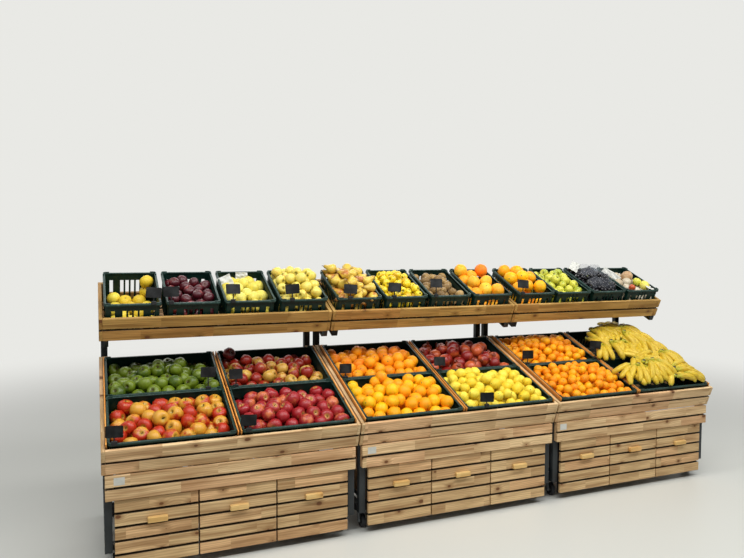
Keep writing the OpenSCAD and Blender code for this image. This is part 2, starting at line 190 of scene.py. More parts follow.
# Finger-jointed pine: lengths in metres, how much each pattern darkens the wood, and the near-black colour of the
# painted shade in the gaps between boards
pineLook = {"ringGap": 0.0110, "pith": 0.05, "wander": 0.06, "jointGap": 0.34, "knotCell": 0.125,
            "knotSize": 0.014, "swirl": 0.014, "swirlReach": 0.05, "haloReach": 0.034, "joints": 0.26,
            "clouds": 0.56, "rings": 0.38, "streaks": 0.72, "fibres": 0.30, "halo": 0.75,
            "rosy": (1.04, 0.93, 0.92, 1), "gapShadeColour": (26, 18, 11), "bump": 0.0004}


# Rings round a pith, streaks and knots, each joined length from another part of a log, and painted shade where a
# board faces a gap
def makePineGroup():
    graph, given, out = newGroup("pine", "ShaderNodeTree", [
        ("Grain", "Vector"), ("Seed", "Float"), ("Grime", "Float"),
        ("Light", "Color"), ("Dark", "Color"), ("Knot", "Color"),
    ], surfaceOutputs)
    along = graph.split(given["Grain"])[0]
    spot = graph.plus(graph.math("DIVIDE", along, pineLook["jointGap"]), graph.times(given["Seed"], 31.7))
    joint = graph.add("ShaderNodeTexVoronoi", {"W": spot, "Scale": 1.0}, voronoi_dimensions="1D")
    tone, shiftY, shiftX = graph.split(joint.outputs["Color"])
    shift = graph.joined(graph.timesPlus(shiftX, 9.0, graph.times(given["Seed"], 37.1)),
                         graph.times(shiftY, 1.7), graph.times(shiftX, 0.03))
    place = graph.vector("ADD", given["Grain"], shift)

    def grained(alongScale, acrossScale, detail):
        return graph.noise(graph.stretched(place, alongScale, acrossScale, acrossScale), 1.0, detail)

    knotCell = pineLook["knotCell"]
    flat = graph.add("ShaderNodeTexVoronoi", {
        "Vector": graph.stretched(place, 0.8, 1.2, 0.0), "Scale": 1 / knotCell}, voronoi_dimensions="2D")
    away = graph.times(flat.outputs["Distance"], knotCell)
    knotSize = graph.step(graph.split(flat.outputs["Color"])[0], 0.38, 1.0, 0.0, pineLook["knotSize"])
    hasKnot = graph.step(knotSize, 0.0015, 0.004)
    nearness = graph.math("DIVIDE", away, graph.plus(knotSize, 0.0001))
    knot = graph.times(graph.step(nearness, 0.6, 1.1, 1.0, 0.0), hasKnot)
    swirl = graph.times(graph.step(away, 0.0, pineLook["swirlReach"], pineLook["swirl"], 0.0), hasKnot)
    halo = graph.times(graph.step(away, 0.006, pineLook["haloReach"], pineLook["halo"], 0.0), hasKnot)

    _, y, z = graph.split(place)
    across = graph.plus(graph.plus(y, graph.times(grained(1.6, 7, 3), pineLook["wander"])), swirl)
    deep = graph.plus(z, pineLook["pith"])
    radius = graph.math("SQRT", graph.plus(graph.times(across, across), graph.times(deep, deep)))
    wave = graph.math("SINE", graph.times(radius, 2 * math.pi / pineLook["ringGap"]))
    ring = graph.math("POWER", graph.timesPlus(wave, 0.5, 0.5), 2.0)
    fibre = grained(5, 240, 2)

    toned = given["Light"]
    for share in (graph.step(tone, 0.0, 1.0, 0.0, pineLook["joints"]),
                  graph.step(grained(3, 13, 3), 0.35, 0.72, 0.0, pineLook["clouds"])):
        toned = graph.mix(share, toned, given["Dark"])
    rosy = graph.mix(1.0, toned, pineLook["rosy"], "MULTIPLY")
    toned = graph.mix(graph.step(shiftY, 0.55, 0.8), toned, rosy)
    for share in (graph.times(ring, pineLook["rings"]),
                  graph.step(grained(2.0, 44, 3), 0.46, 0.68, 0.0, pineLook["streaks"]),
                  graph.step(fibre, 0.45, 0.8, 0.0, pineLook["fibres"]), halo):
        toned = graph.mix(share, toned, given["Dark"])
    toned = graph.mix(knot, toned, given["Knot"])
    # painted shade: where the mask is set, the wood darkens towards near black, as shadow in the gaps and low on
    # the laths
    gapShaded = graph.step(given["Grime"], 0.0, 0.22, 0.0, 0.88)
    height = graph.timesPlus(ring, 0.5, graph.times(fibre, 0.5))
    graph.feedAll(out, {"Color": graph.mix(gapShaded, toned, colour(*pineLook["gapShadeColour"])),
                        "Roughness": graph.timesPlus(ring, -0.08, 0.62),
                        "Height": graph.plus(height, graph.times(knot, 0.3))})
    return graph.tree


pine = makePineGroup()


def makeWood(name, light, dark, knot=(110, 70, 40)):
    material, graph, shader = newMaterial(name, {"Specular IOR Level": 0.3})
    wood = useGroup(graph, pine, {
        "Grain": graph.read("grain", "Vector"), "Seed": graph.read("seed"), "Grime": graph.read("gapShade"),
        "Light": colour(*light), "Dark": colour(*dark), "Knot": colour(*knot)})
    dress(graph, shader, wood, pineLook["bump"])
    return material


woods = {
    "front": makeWood("front_pine", (244, 213, 163), (160, 120, 77)),
    # the drawers' pine is a darker copy of the front pine: painted shade, for the lesser light low on the stand
    "drawer": makeWood("drawer_pine_shaded", (232, 200, 148), (148, 110, 68)),
    "side": makeWood("side_pine", (230, 202, 156), (168, 132, 86)),
    "upper": makeWood("upper_pine", (202, 162, 92), (130, 95, 44)),
    "lath": makeWood("lath_pine", (240, 172, 84), (198, 122, 48)),
    "handle": makeWood("handle_wood", (232, 198, 132), (204, 160, 92), (186, 138, 76)),
    "box": makeWood("box_pine", (214, 182, 138), (176, 138, 94)),
}


# Broken-up dust and rubbed spots, as masks from 0 to 1
def makeWearGroup():
    graph, given, out = newGroup("wear", "ShaderNodeTree", [
        ("Place", "Vector"), ("Scale", "Float", 30.0), ("Amount", "Float", 0.3),
    ], [("Mask", "Float"), ("Grime", "Float")])
    patches = graph.noise(given["Place"], given["Scale"], 5, 0.65)
    low = graph.math("SUBTRACT", 0.78, graph.times(given["Amount"], 0.5))
    elsewhere = graph.vector("ADD", given["Place"], (3.1, 1.7, 5.3))
    graph.feedAll(out, {"Mask": graph.step(patches, low, graph.plus(low, 0.12)),
                        "Grime": graph.noise(elsewhere, graph.times(given["Scale"], 0.35), 3)})
    return graph.tree


wear = makeWearGroup()

# How much dust and rubbing lighten a paint, its smoothest and roughest spots, and its fine speckle
paintLook = {"dust": 0.45, "rubbing": 0.5, "roughness": (0.38, 0.58), "speckle": 900.0, "bump": 0.00012}


def makePaint(name, base, rubbed, settings, scale=42.0, amount=0.22):
    material, graph, shader = newMaterial(name, settings)
    here = graph.here()
    worn = useGroup(graph, wear, {"Place": here, "Scale": scale, "Amount": amount})
    dust = graph.step(worn["Grime"], 0.35, 0.8, 0.0, paintLook["dust"])
    rubbing = graph.times(worn["Mask"], paintLook["rubbing"])
    dusty = graph.mix(dust, colour(*base), colour(*rubbed))
    dress(graph, shader, {"Color": graph.mix(rubbing, dusty, colour(*rubbed)),
                          "Roughness": graph.step(worn["Grime"], 0.2, 0.8, *paintLook["roughness"]),
                          "Height": graph.noise(here, paintLook["speckle"], 1)}, paintLook["bump"])
    return material


steelPaint = makePaint("slate_powder_coat", (36, 40, 42), (62, 67, 69), {"Specular IOR Level": 0.3})
zincPlate = makePaint("zinc_plate", (132, 136, 140), (176, 178, 180), {"Metallic": 0.85})
blackBoard = makePaint("black_backing", (24, 19, 16), (40, 33, 27), {"Specular IOR Level": 0.2})
blackPlastic = makePaint("black_plastic", (22, 23, 24), (44, 46, 47), {"Specular IOR Level": 0.3})
tyreRubber = makePaint("tyre_rubber", (38, 39, 42), (70, 70, 72), {"Specular IOR Level": 0.25})
slateCard = makePaint("slate_card", (11, 12, 13), (62, 64, 64), {"Specular IOR Level": 0.2}, 60.0, 0.30)
palePaper = makePaint("pale_paper", (208, 208, 200), (178, 180, 174), {"Specular IOR Level": 0.2}, 90.0, 0.3)

crateLook = {"base": (5, 33, 28), "dusty": (11, 50, 42), "scuffed": (104, 132, 123), "dust": 0.6,
             "scuffs": (0.25, 0.85), "wearScale": 55.0, "wearAmount": 0.5, "roughness": 0.42,
             "scuffRoughness": 0.2, "speckle": 700.0, "bump": 0.0001}


def makeCratePlastic():
    material, graph, shader = newMaterial("crate_plastic", {"Specular IOR Level": 0.28})
    here = graph.here()
    worn = useGroup(graph, wear, {
        "Place": here, "Scale": crateLook["wearScale"], "Amount": crateLook["wearAmount"]})
    dust = graph.step(worn["Grime"], 0.3, 0.8, 0.0, crateLook["dust"])
    base = graph.mix(dust, colour(*crateLook["base"]), colour(*crateLook["dusty"]))
    scuffed = graph.times(graph.read("rubbed"), graph.step(worn["Mask"], 0.0, 1.0, *crateLook["scuffs"]))
    dress(graph, shader, {
        "Color": graph.mix(scuffed, base, colour(*crateLook["scuffed"])),
        "Roughness": graph.timesPlus(scuffed, crateLook["scuffRoughness"], crateLook["roughness"]),
        "Height": graph.noise(here, crateLook["speckle"], 1)}, crateLook["bump"])
    return material


cratePlastic = makeCratePlastic()
print("materials of the stand made")


def link(thing):
    scene.collection.objects.link(thing)
    return thing


def discard(*things):
    for thing in things:
        bpy.data.objects.remove(thing)


def meshObject(name, bm, *materials):
    mesh = bpy.data.meshes.new(name)
    bm.to_mesh(mesh)
    bm.free()
    for material in materials:
        mesh.materials.append(material)
    return link(bpy.data.objects.new(name, mesh))


def store(mesh, name, kind, values):  # a value for each vertex
    attribute = mesh.attributes.new(name, kind, "POINT")
    field = "vector" if kind == "FLOAT_VECTOR" else "value"
    attribute.data.foreach_set(field, np.asarray(values, np.float32).ravel())


def vectors(mesh, name="position"):  # a row for each vertex
    values = np.zeros(len(mesh.vertices) * 3, np.float32)
    mesh.attributes[name].data.foreach_get("vector", values)
    return values.reshape(-1, 3)


def shade(bm, smooth=lambda face: True):  # smooth shading, on the faces that pass the test
    for face in bm.faces:
        face.smooth = smooth(face)


def faceOutwards(bm):
    bmesh.ops.recalc_face_normals(bm, faces=bm.faces[:])


def bridge(bm, lower, upper):  # four-sided faces between two rings of as many points
    following = [*range(1, len(lower)), 0]
    return [bm.faces.new((lower[k], lower[j], upper[j], upper[k])) for k, j in enumerate(following)]


# Turns an object's live modifiers into a plain mesh, with the object back at the origin
def bake(thing):
    bpy.context.view_layer.update()
    depsgraph = bpy.context.evaluated_depsgraph_get()
    mesh = bpy.data.meshes.new_from_object(thing.evaluated_get(depsgraph), preserve_all_data_layers=True,
                                           depsgraph=depsgraph)
    thing.modifiers.clear()
    thing.data = mesh
    return thing


def thicken(thing, thickness, offset=0):
    solid = thing.modifiers.new("thick", "SOLIDIFY")
    solid.thickness, solid.offset = thickness, offset
    return bake(thing)


# Runs a tree on a mesh and gives the result as a plain object
def grow(name, tree, values, points=None):
    thing = link(bpy.data.objects.new(name, points or bpy.data.meshes.new(name)))
    modifier = thing.modifiers.new("grow", "NODES")
    modifier.node_group = tree
    for item in tree.interface.items_tree:
        if item.in_out == "INPUT" and item.name in values:
            modifier[item.identifier] = values[item.name]
    return bake(thing)


# Ends a tree: its copies are made real and get their material
def endTree(graph, out, copies, material):
    real = graph.add("GeometryNodeRealizeInstances", {"Geometry": copies})
    dressed = graph.add("GeometryNodeSetMaterial", {"Geometry": real.outputs[0], "Material": material})
    graph.feed(out["Geometry"], dressed.outputs[0])
    return graph.tree


def place(thing, matrix):
    thing.data.transform(matrix)
    return thing


def joinPieces(name, things):
    first = things[0]
    with bpy.context.temp_override(active_object=first, selected_editable_objects=things):
        bpy.ops.object.join()
    first.name = name
    return first


def finish(thing, body, slot, *nodes):
    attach(thing, body)
    if nodes:
        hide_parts(*nodes)
    return thing


# Like pieces along a line, each with its own seed
def makeRowTree():
    graph, given, out = newGroup("row", "GeometryNodeTree", [
        ("Piece", "Object"), ("Count", "Int", 1), ("Step", "Vector"), ("Seed", "Int"), ("Finish", "Material"),
    ], [("Geometry", "Geometry")])
    line = graph.add("GeometryNodeMeshLine", {"Count": given["Count"], "Offset": given["Step"]}, mode="OFFSET")
    piece = graph.add("GeometryNodeObjectInfo", {"Object": given["Piece"]})
    copies = graph.add("GeometryNodeInstanceOnPoints", {
        "Points": line.outputs[0], "Instance": piece.outputs["Geometry"]})
    chance = graph.add("FunctionNodeRandomValue", {"Seed": given["Seed"]}, data_type="FLOAT")
    seeded = graph.add("GeometryNodeStoreNamedAttribute", {
        "Geometry": copies.outputs[0], "Name": "seed", "Value": chance.outputs[1]},
        domain="INSTANCE", data_type="FLOAT")
    return endTree(graph, out, seeded.outputs[0], given["Finish"])


rowTree = makeRowTree()


# A block with eased edges between two corners
def easedBlock(name, low, high, edge, *materials):
    bm = bmesh.new()
    bmesh.ops.create_cube(bm, size=1)
    size, middle = Vector(high) - Vector(low), (Vector(high) + Vector(low)) / 2
    for vertex in bm.verts:
        vertex.co = vertex.co * size + middle
    bmesh.ops.bevel(bm, geom=bm.edges[:], offset=edge, segments=2, profile=0.5, affect="EDGES")
    shade(bm, lambda face: max(abs(c) for c in face.normal) < 0.999)  # the six flat sides stay flat
    return meshObject(name, bm, *materials)


# A board; x runs along its grain, y across its face and z through it
def makeBoard(length, width, thickness, edge):
    board = easedBlock("board", (0, 0, 0), (length, width, thickness), edge)
    store(board.data, "grain", "FLOAT_VECTOR", vectors(board.data))
    return board


# Painted shade on the edges that face another board of the row, and on the lower half of a lath
def shadedGapEdges(mesh, width, wood):
    across, height = vectors(mesh, "grain")[:, 1], vectors(mesh)[:, 1]
    if wood == "lath":
        return across < width / 2
    touch, clear = 1e-5, 1e-4  # metres from a board's long edges, and from the row's outermost ones
    edge = (across < touch) | (across > width - touch)
    return edge & (height > clear) & (height < height.max() - clear)


boardsMade = 0


# A row of like boards: size is (length, width, thickness), and where puts the first one in its frame
def boardRow(size, wood, where, count=1, step=(0, 0, 0), edge=0.002):
    global boardsMade
    boardsMade += 1
    width = size[1]
    if count > 1 and wood != "lath":  # the slats have dried, which opens the gaps between them
        width -= run["shrunk"] * (count - 1) / count
        step = Vector(step) + Vector(step).normalized() * run["shrunk"] / count
    board = makeBoard(size[0], width, size[2], edge)
    row = grow("row", rowTree, {
        "Piece": board, "Count": count, "Step": step, "Seed": boardsMade, "Finish": woods[wood]})
    discard(board)
    # the mask of painted shade in the gaps between boards and low on the laths
    store(row.data, "gapShade", "FLOAT", shadedGapEdges(row.data, width, wood))
    return place(row, where)


def at(x, y, z, turn=None):
    return Matrix.Translation((x, y, z)) @ (turn or Matrix.Identity(4))


standing = Matrix.Rotation(math.pi / 2, 4, "X")  # a board's face turned to the front
sideways = Matrix(((0, 0, 1, 0), (1, 0, 0, 0), (0, 1, 0, 0), (0, 0, 0, 1)))  # its length to y and its face to x
upright = Matrix(((0, 1, 0, 0), (0, 0, 1, 0), (1, 0, 0, 0), (0, 0, 0, 1)))  # its length to z and its face to x


# The sloped frame of a tier: its origin is the front top edge at the bay's left side
def slopeOf(node, tier):
    low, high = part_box(node)
    front = high.z - tier["length"] * math.sin(tier["rise"])
    return at(low.x, low.y, front, Matrix.Rotation(tier["rise"], 4, "X"))


tierBox = {"ends": 0.040, "plankGap": 0.014, "plankClear": 0.0005}


# Two slats on each side and in front, and the low back board with its raised ends, in the tier's sloped frame
def tierBoards(bay, tier, wood):
    width, board, slat, height = bayWidth(bay), run["board"], tier["slat"], tier["height"]
    step, ends = slat + run["slatGap"], tierBox["ends"]
    inside = width - 2 * board
    flank = "side" if wood == "front" else wood
    parts = [boardRow((tier["length"], slat, board), flank, at(x, 0, -height, sideways), 2, (0, step, 0))
             for x in (0, width - board)]
    parts.append(boardRow((inside, slat, board), wood, at(board, board, -height, standing), 2, (0, step, 0)))
    parts.append(boardRow((inside - 2 * ends, step, board), flank,
                          at(board + ends, tier["length"], -height, standing)))
    for x in (board, width - board - ends):
        parts.append(boardRow((height, ends, board), flank, at(x, tier["length"] - board, -height, upright)))
    return parts


def deckPlanks(bay, tier):
    gap, edge = tierBox["plankGap"], run["board"] + tierBox["plankClear"]
    inside = bayWidth(bay) - 2 * edge
    plank = (tier["length"] - 2 * edge - (tier["planks"] - 1) * gap) / tier["planks"]
    return boardRow((inside, plank, run["deck"]), "box", at(edge, edge, -tier["height"]), tier["planks"],
                    (0, plank + gap, 0))


# Crates, with the clearances of the source: spare is what they leave of their tier's length, left and start are
# where the first one stands, step is how far the next one is, slotTop is from the rim down to the slots, blind
# tells which slots are left out, and peak is how far back its heap is highest
lath = {"thickness": 0.006, "edge": 0.001, "clear": 0.002, "middleGap": 0.010, "height": 0.140, "ease": 0.0008}
baySpace = bayWidth(1) - 2 * run["board"]
lowCrate = {"height": 0.137, "spare": 0.075, "rowGap": 0.005, "start": 0.022, "slotTop": 0.062, "blind": 0,
            "peak": 0.6}
lowCrate["width"] = (baySpace - 4 * lath["thickness"] - 2 * lath["edge"]
                     - 4 * lath["clear"] - lath["middleGap"]) / 2
lowCrate["depth"] = (tray["length"] - lowCrate["spare"]) / 2
lowCrate["left"] = run["board"] + lath["edge"] + lath["thickness"] + lath["clear"]
lowCrate["step"] = lowCrate["width"] + 2 * lath["clear"] + 2 * lath["thickness"] + lath["middleGap"]
topCrate = {"height": 0.186, "spare": 0.044, "side": 0.007, "gap": 0.024, "rowGap": 0.0, "start": 0.024,
            "slotTop": 0.043, "blind": 5, "peak": 0.68}
topCrate["width"] = (baySpace - 2 * topCrate["side"] - 3 * topCrate["gap"]) / 4
topCrate["depth"] = shelf["length"] - topCrate["spare"]
topCrate["left"] = run["board"] + topCrate["side"]
topCrate["step"] = topCrate["width"] + topCrate["gap"]


def lathBoards(bay):
    width, thin = bayWidth(bay), lath["thickness"]
    places = [run["board"] + lath["edge"], width / 2 - lath["middleGap"] / 2 - thin,
              width / 2 + lath["middleGap"] / 2, width - run["board"] - lath["edge"] - thin]
    size = (2 * lowCrate["depth"] + lowCrate["rowGap"], lath["height"], thin)
    y, z = lowCrate["start"], run["deck"] - tray["height"]
    return [boardRow(size, "lath", at(x, y, z, sideways), edge=lath["ease"]) for x in places]


def makeTiers(bay):
    trayFrame = slopeOf(f"bay{bay}_tray_box", tray)
    shelfFrame = slopeOf(f"bay{bay}_shelf_box", shelf)
    box = place(joinPieces(f"bay{bay}_tray_boards", tierBoards(bay, tray, "front")), trayFrame)
    finish(box, "stand", "wood", f"bay{bay}_tray_box")
    deck = place(joinPieces(f"bay{bay}_tray_planks", [deckPlanks(bay, tray), *lathBoards(bay)]), trayFrame)
    finish(deck, "stand", "wood", f"bay{bay}_tray_deck")
    upper = joinPieces(f"bay{bay}_shelf_boards", [*tierBoards(bay, shelf, "upper"), deckPlanks(bay, shelf)])
    finish(place(upper, shelfFrame), "stand", "wood", f"bay{bay}_shelf_box")


apron = {"slat": 0.0545, "batten": 0.040, "battens": 3}


def makeApron(bay):
    low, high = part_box(f"bay{bay}_apron")
    width, board = high.x - low.x, run["board"]
    slats = boardRow((width, apron["slat"], board), "front", at(low.x, low.y + board, low.z, standing), 2,
                     (0, apron["slat"] + run["slatGap"], 0))
    deep = high.y - low.y - board
    battens = boardRow((high.z - low.z, apron["batten"], deep), "box", at(low.x, low.y + board, low.z, upright),
                       apron["battens"], (0, (width - apron["batten"]) / (apron["battens"] - 1), 0))
    finish(joinPieces(f"bay{bay}_apron_slats", [slats, battens]), "stand", "wood", f"bay{bay}_apron")


# A drawer's front of slats with a block handle that stands on one of them, and the open box behind it
drawer = {"slat": 0.0572, "slats": 5, "back": 0.015, "backDrop": 0.005, "handle": (0.092, 0.027, 0.024),
          "handleSlat": 3, "handleLift": 0.003, "handleEase": 0.004, "inset": 0.020, "wall": 0.012,
          "floor": 0.009, "boxHeight": 0.196, "boxUnderside": 0.1413}


def makeDrawer(node):
    low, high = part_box(node)
    board, size = run["board"], drawer["handle"]
    frontY, width = low.y + size[2], high.x - low.x
    slatStep = drawer["slat"] + run["slatGap"]
    bottom = low.z + drawer["backDrop"]
    slats = boardRow((width, drawer["slat"], board), "drawer", at(low.x, frontY + board, bottom, standing),
                     drawer["slats"], (0, slatStep, 0))
    boxY = frontY + board + drawer["back"]
    back = easedBlock("back", (low.x, frontY + board, low.z), (high.x, boxY, high.z), 0.001, blackBoard)
    handleZ = bottom + drawer["handleSlat"] * slatStep + drawer["handleLift"]
    handle = boardRow(size, "handle", at(low.x + (width - size[0]) / 2, frontY, handleZ, standing),
                      edge=drawer["handleEase"])
    boxLeft, boxRight, boxLow = low.x + drawer["inset"], high.x - drawer["inset"], drawer["boxUnderside"]
    inside, deep = boxRight - boxLeft, high.y - boxY
    wall, tall = drawer["wall"], drawer["boxHeight"]
    corner = at(boxLeft + wall, boxY + wall, boxLow)
    sides = boardRow((deep, tall, wall), "box", at(boxLeft, boxY, boxLow, sideways), 2, (0, 0, inside - wall))
    ends = boardRow((inside - 2 * wall, tall, wall), "box", corner @ standing, 2, (0, 0, wall - deep))
    floor = boardRow((inside - 2 * wall, deep - 2 * wall, drawer["floor"]), "box", corner)
    finish(joinPieces(f"{node}_boards", [slats, back, handle, sides, ends, floor]), node, "wood", node)


for bay in bays:
    makeTiers(bay)
    makeApron(bay)
    for side in ("left", "middle", "right"):
        makeDrawer(f"bay{bay}_drawer_{side}")
print("boards made")


# How far the edges of the steel are eased, and of the thinner forks
easing = {"frame": 0.002, "fork": 0.0006, "corner": math.radians(50)}


# A copy of a solid with its edges eased, in one finish
def easedCopy(node, material, ease):
    bm = bmesh.new()
    bm.from_mesh(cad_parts[node].data)
    bmesh.ops.remove_doubles(bm, verts=bm.verts[:], dist=1e-5)
    bmesh.ops.dissolve_limit(bm, angle_limit=math.radians(1), verts=bm.verts[:], edges=bm.edges[:])
    shade(bm)
    thing = meshObject(f"{node}_steel", bm, material)
    edges = thing.modifiers.new("ease", "BEVEL")
    edges.width, edges.segments, edges.limit_method, edges.angle_limit = ease, 2, "ANGLE", easing["corner"]
    edges.harden_normals = True
    return bake(thing)


# A shape turned round the z axis from (radius, height) points, open or closed at the axis
def lathe(bm, outline, steps):
    rings = []
    turns = [2 * math.pi * k / steps for k in range(steps)]
    for radius, height in outline:
        if radius < 1e-6:
            rings.append([bm.verts.new((0, 0, height))])
        else:
            rings.append([bm.verts.new((radius * math.cos(a), radius * math.sin(a), height)) for a in turns])
    for lower, upper in zip(rings, rings[1:]):
        if len(lower) == len(upper):
            bridge(bm, lower, upper)
            continue
        for k in range(steps):
            following = (k + 1) % steps
            if len(lower) == 1:
                bm.faces.new((lower[0], upper[following], upper[k]))
            else:
                bm.faces.new((lower[k], lower[following], upper[0]))
    shade(bm)


# Axle nuts as (radius, thickness), how far from a wheel's middle they sit, and their chamfer
fastener = {"nut": (0.0065, 0.0045), "legX": 0.020, "chamfer": (0.82, 0.8)}


# A six-sided head along z with a chamfered face, put where its foot's middle goes
def hexHead(radius, thick, where, material):
    face, edge = fastener["chamfer"]
    bm = bmesh.new()
    lathe(bm, [(0, 0), (radius, 0), (radius, thick * edge), (radius * face, thick), (0, thick)], 6)
    faceOutwards(bm)
    shade(bm, lambda face: False)
    return place(meshObject("head", bm, material), where)


def middleOf(node):
    low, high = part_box(node)
    return (low + high) / 2


# Nuts at both ends of an axle, outside the fork's legs
def axleNuts(middle):
    return [hexHead(*fastener["nut"], at(middle.x + side * fastener["legX"], middle.y, middle.z,
                                         Matrix.Rotation(side * math.pi / 2, 4, "Y")), zincPlate)
            for side in (-1, 1)]


# A caster wheel's outline, from its bore out: the hub's face as (radius, above the hub's half width), then the
# web and the tyre as (in from the tread, in from the side)
wheel = {"tread": 0.024, "hub": 0.0162, "steps": 40, "tyre": 0.0095, "web": (0.0125, 0.003),
         "hubFace": [(0.0041, 0.0004), (0.0105, 0.0004), (0.0115, -0.0006)],
         "side": [(0.0115, 0.0035), (0.0095, 0.0015), (0.008, 0), (0.003, 0.0006), (0.0008, 0.0035),
                  (0, 0.007)]}


# Wheels about their axles: a tyre on a dished centre, with a bearing hub
def makeWheel(node, body, middles):
    low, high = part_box(node)
    radius, half = (high.z - low.z) / 2, wheel["tread"] / 2
    outline = [(r, wheel["hub"] + h) for r, h in wheel["hubFace"]]
    outline.append((wheel["web"][0], half - wheel["web"][1]))
    outline += [(radius - inward, half - down) for inward, down in wheel["side"]]
    outline += [(r, -h) for r, h in reversed(outline)]
    outline.append(outline[0])
    parts = []
    for middle in middles:
        bm = bmesh.new()
        lathe(bm, outline, wheel["steps"])
        bmesh.ops.remove_doubles(bm, verts=bm.verts[:], dist=1e-6)
        faceOutwards(bm)
        part = meshObject("wheel", bm, tyreRubber, blackPlastic)
        for face in part.data.polygons:
            face.material_index = int(math.hypot(face.center.x, face.center.y) < radius - wheel["tyre"])
        parts.append(place(part, at(*middle, Matrix.Rotation(math.pi / 2, 4, "Y"))))
    finish(joinPieces(f"{node}_tyre", parts), body, "tyre", node)


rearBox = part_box("rear_wheels")
rearMiddles = []
for bay in bays:
    for part in ("frame", "shelf_frame"):
        finish(easedCopy(f"bay{bay}_{part}", steelPaint, easing["frame"]), "stand", "steel", f"bay{bay}_{part}")
    for side in ("left", "right"):
        fork, tyre = f"bay{bay}_fork_{side}", f"bay{bay}_wheel_{side}"
        middle = middleOf(tyre)
        makeWheel(tyre, tyre, [middle])
        zinc = joinPieces(f"{fork}_zinc", [easedCopy(fork, zincPlate, easing["fork"]), *axleNuts(middle)])
        finish(zinc, fork, "zinc", fork)
        rearMiddles.append(Vector((middle.x, (rearBox[0].y + rearBox[1].y) / 2, middle.z)))
rearNuts = [nut for middle in rearMiddles for nut in axleNuts(middle)]
rearForks = joinPieces("rear_forks_zinc", [easedCopy("rear_forks", zincPlate, easing["fork"]), *rearNuts])
finish(rearForks, "stand", "zinc", "rear_forks")
makeWheel("rear_wheels", "stand", rearMiddles)
print("steel and casters made")


# Crate walls with slots at a pitch, and a rim that stands out by rim; cell is the mesh of the pierced floor
crate = {"rim": 0.009, "rimHeight": 0.014, "wall": 0.003, "corner": 0.016, "cornerSteps": 4, "slotWidth": 0.018,
         "pitch": 0.028, "slotLow": 0.026, "floor": 0.004, "cell": 0.032, "floorClear": 0.001,
         "floorLift": 0.0005, "wallUnderRim": 0.002}
rib = {"width": 0.0024, "depth": 0.004, "out": 0.0015, "foot": 0.006, "widestLand": 0.02, "worn": 0.12}
lug = {"length": 0.034, "height": 0.006, "outside": 0.0015, "inside": 0.001, "sunk": 0.0004, "worn": 0.25}


# Points round a crate, at an inset from its outside, and for each whether a slot starts there
def crateOutline(size, inset, withSlots=False):
    points, slotted = [], []
    radius = max(crate["corner"] - inset, 0.001)
    right, back = size["width"] - inset, size["depth"] - inset
    sides = [((inset + radius, inset), (1, 0), right - inset), ((right, inset + radius), (0, 1), back - inset),
             ((right - radius, back), (-1, 0), right - inset), ((inset, back - radius), (0, -1), back - inset)]
    for number, ((x, y), (alongX, alongY), length) in enumerate(sides):
        stops = [0.0]
        if withSlots:
            count = int((length - 2 * crate["corner"] + 1e-6) / crate["pitch"])
            for k in range(count):
                if number % 2 == 0 and size["blind"] and abs(2 * k - (count - 1)) == size["blind"]:
                    continue
                middle = length / 2 - radius + (k - (count - 1) / 2) * crate["pitch"]
                stops += [middle - crate["slotWidth"] / 2, middle + crate["slotWidth"] / 2]
        stops.append(length - 2 * radius)
        for k, stop in enumerate(stops):
            points.append((x + alongX * stop, y + alongY * stop))
            slotted.append(withSlots and k % 2 == 1 and k < len(stops) - 1)
        endX, endY = points[-1]
        middleX, middleY = endX - alongY * radius, endY + alongX * radius
        for k in range(1, crate["cornerSteps"]):
            angle = math.radians(-90 + 90 * number + 90 * k / crate["cornerSteps"])
            points.append((middleX + radius * math.cos(angle), middleY + radius * math.sin(angle)))
            slotted.append(False)
    return points, slotted


def markWorn(thing, worn):  # how pale a crate's piece is rubbed, for all its points or one by one
    store(thing.data, "rubbed", "FLOAT", np.broadcast_to(worn, len(thing.data.vertices)))
    return thing


def crateShell(size):  # slotted walls and a pierced floor
    bm = bmesh.new()
    points, slotted = crateOutline(size, crate["rim"], True)
    levels = [0.0, crate["slotLow"], size["height"] - size["slotTop"], size["height"] - crate["wallUnderRim"]]
    columns = [[bm.verts.new((x, y, level)) for level in levels] for x, y in points]
    for k, column in enumerate(columns):
        following = columns[(k + 1) % len(columns)]
        for row in range(3):
            if not (row == 1 and slotted[k]):
                bm.faces.new((column[row], following[row], following[row + 1], column[row + 1]))
    cellsX, cellsY = (round((size[side] - 2 * crate["rim"]) / crate["cell"]) for side in ("width", "depth"))
    inset = crate["rim"] + crate["floorClear"]
    spanX, spanY = size["width"] - 2 * inset, size["depth"] - 2 * inset
    grid = [[bm.verts.new((inset + spanX * i / cellsX, inset + spanY * j / cellsY, crate["floorLift"]))
             for j in range(cellsY + 1)] for i in range(cellsX + 1)]
    for i in range(cellsX):
        for j in range(cellsY):
            if not (i % 2 == 1 and j % 2 == 1):
                bm.faces.new((grid[i][j], grid[i][j + 1], grid[i + 1][j + 1], grid[i + 1][j]))
    return markWorn(thicken(meshObject("shell", bm), crate["wall"], -1), 0.0)


def crateRim(size):  # a turned-down rim, worn pale on top
    rim, tall = crate["rim"], crate["rimHeight"]
    lip = [(-0.003, -0.014, 0.0), (-0.003, -0.0015, 0.25), (-0.0015, 0.0, 0.40), (rim - 0.0025, 0.0, 0.25),
           (rim, -0.002, 0.45), (rim, -0.0125, 0.08), (rim - 0.001, -tall, 0.03), (rim - 0.003, -tall, 0.0),
           (rim - 0.003, -0.004, 0.0), (-0.0005, -0.004, 0.0), (-0.0005, -0.014, 0.0)]
    top = 6  # the edges of the lip up to here are smooth
    bm = bmesh.new()
    rings, worn = [], []
    for outward, down, pale in lip:
        points, _ = crateOutline(size, rim - outward)
        rings.append([bm.verts.new((x, y, size["height"] + down)) for x, y in points])
        worn += [pale] * len(points)
    for k, ring in enumerate(rings):
        for face in bridge(bm, ring, rings[(k + 1) % len(rings)]):
            face.smooth = 0 < k < top
    faceOutwards(bm)
    return markWorn(meshObject("rim", bm), worn)


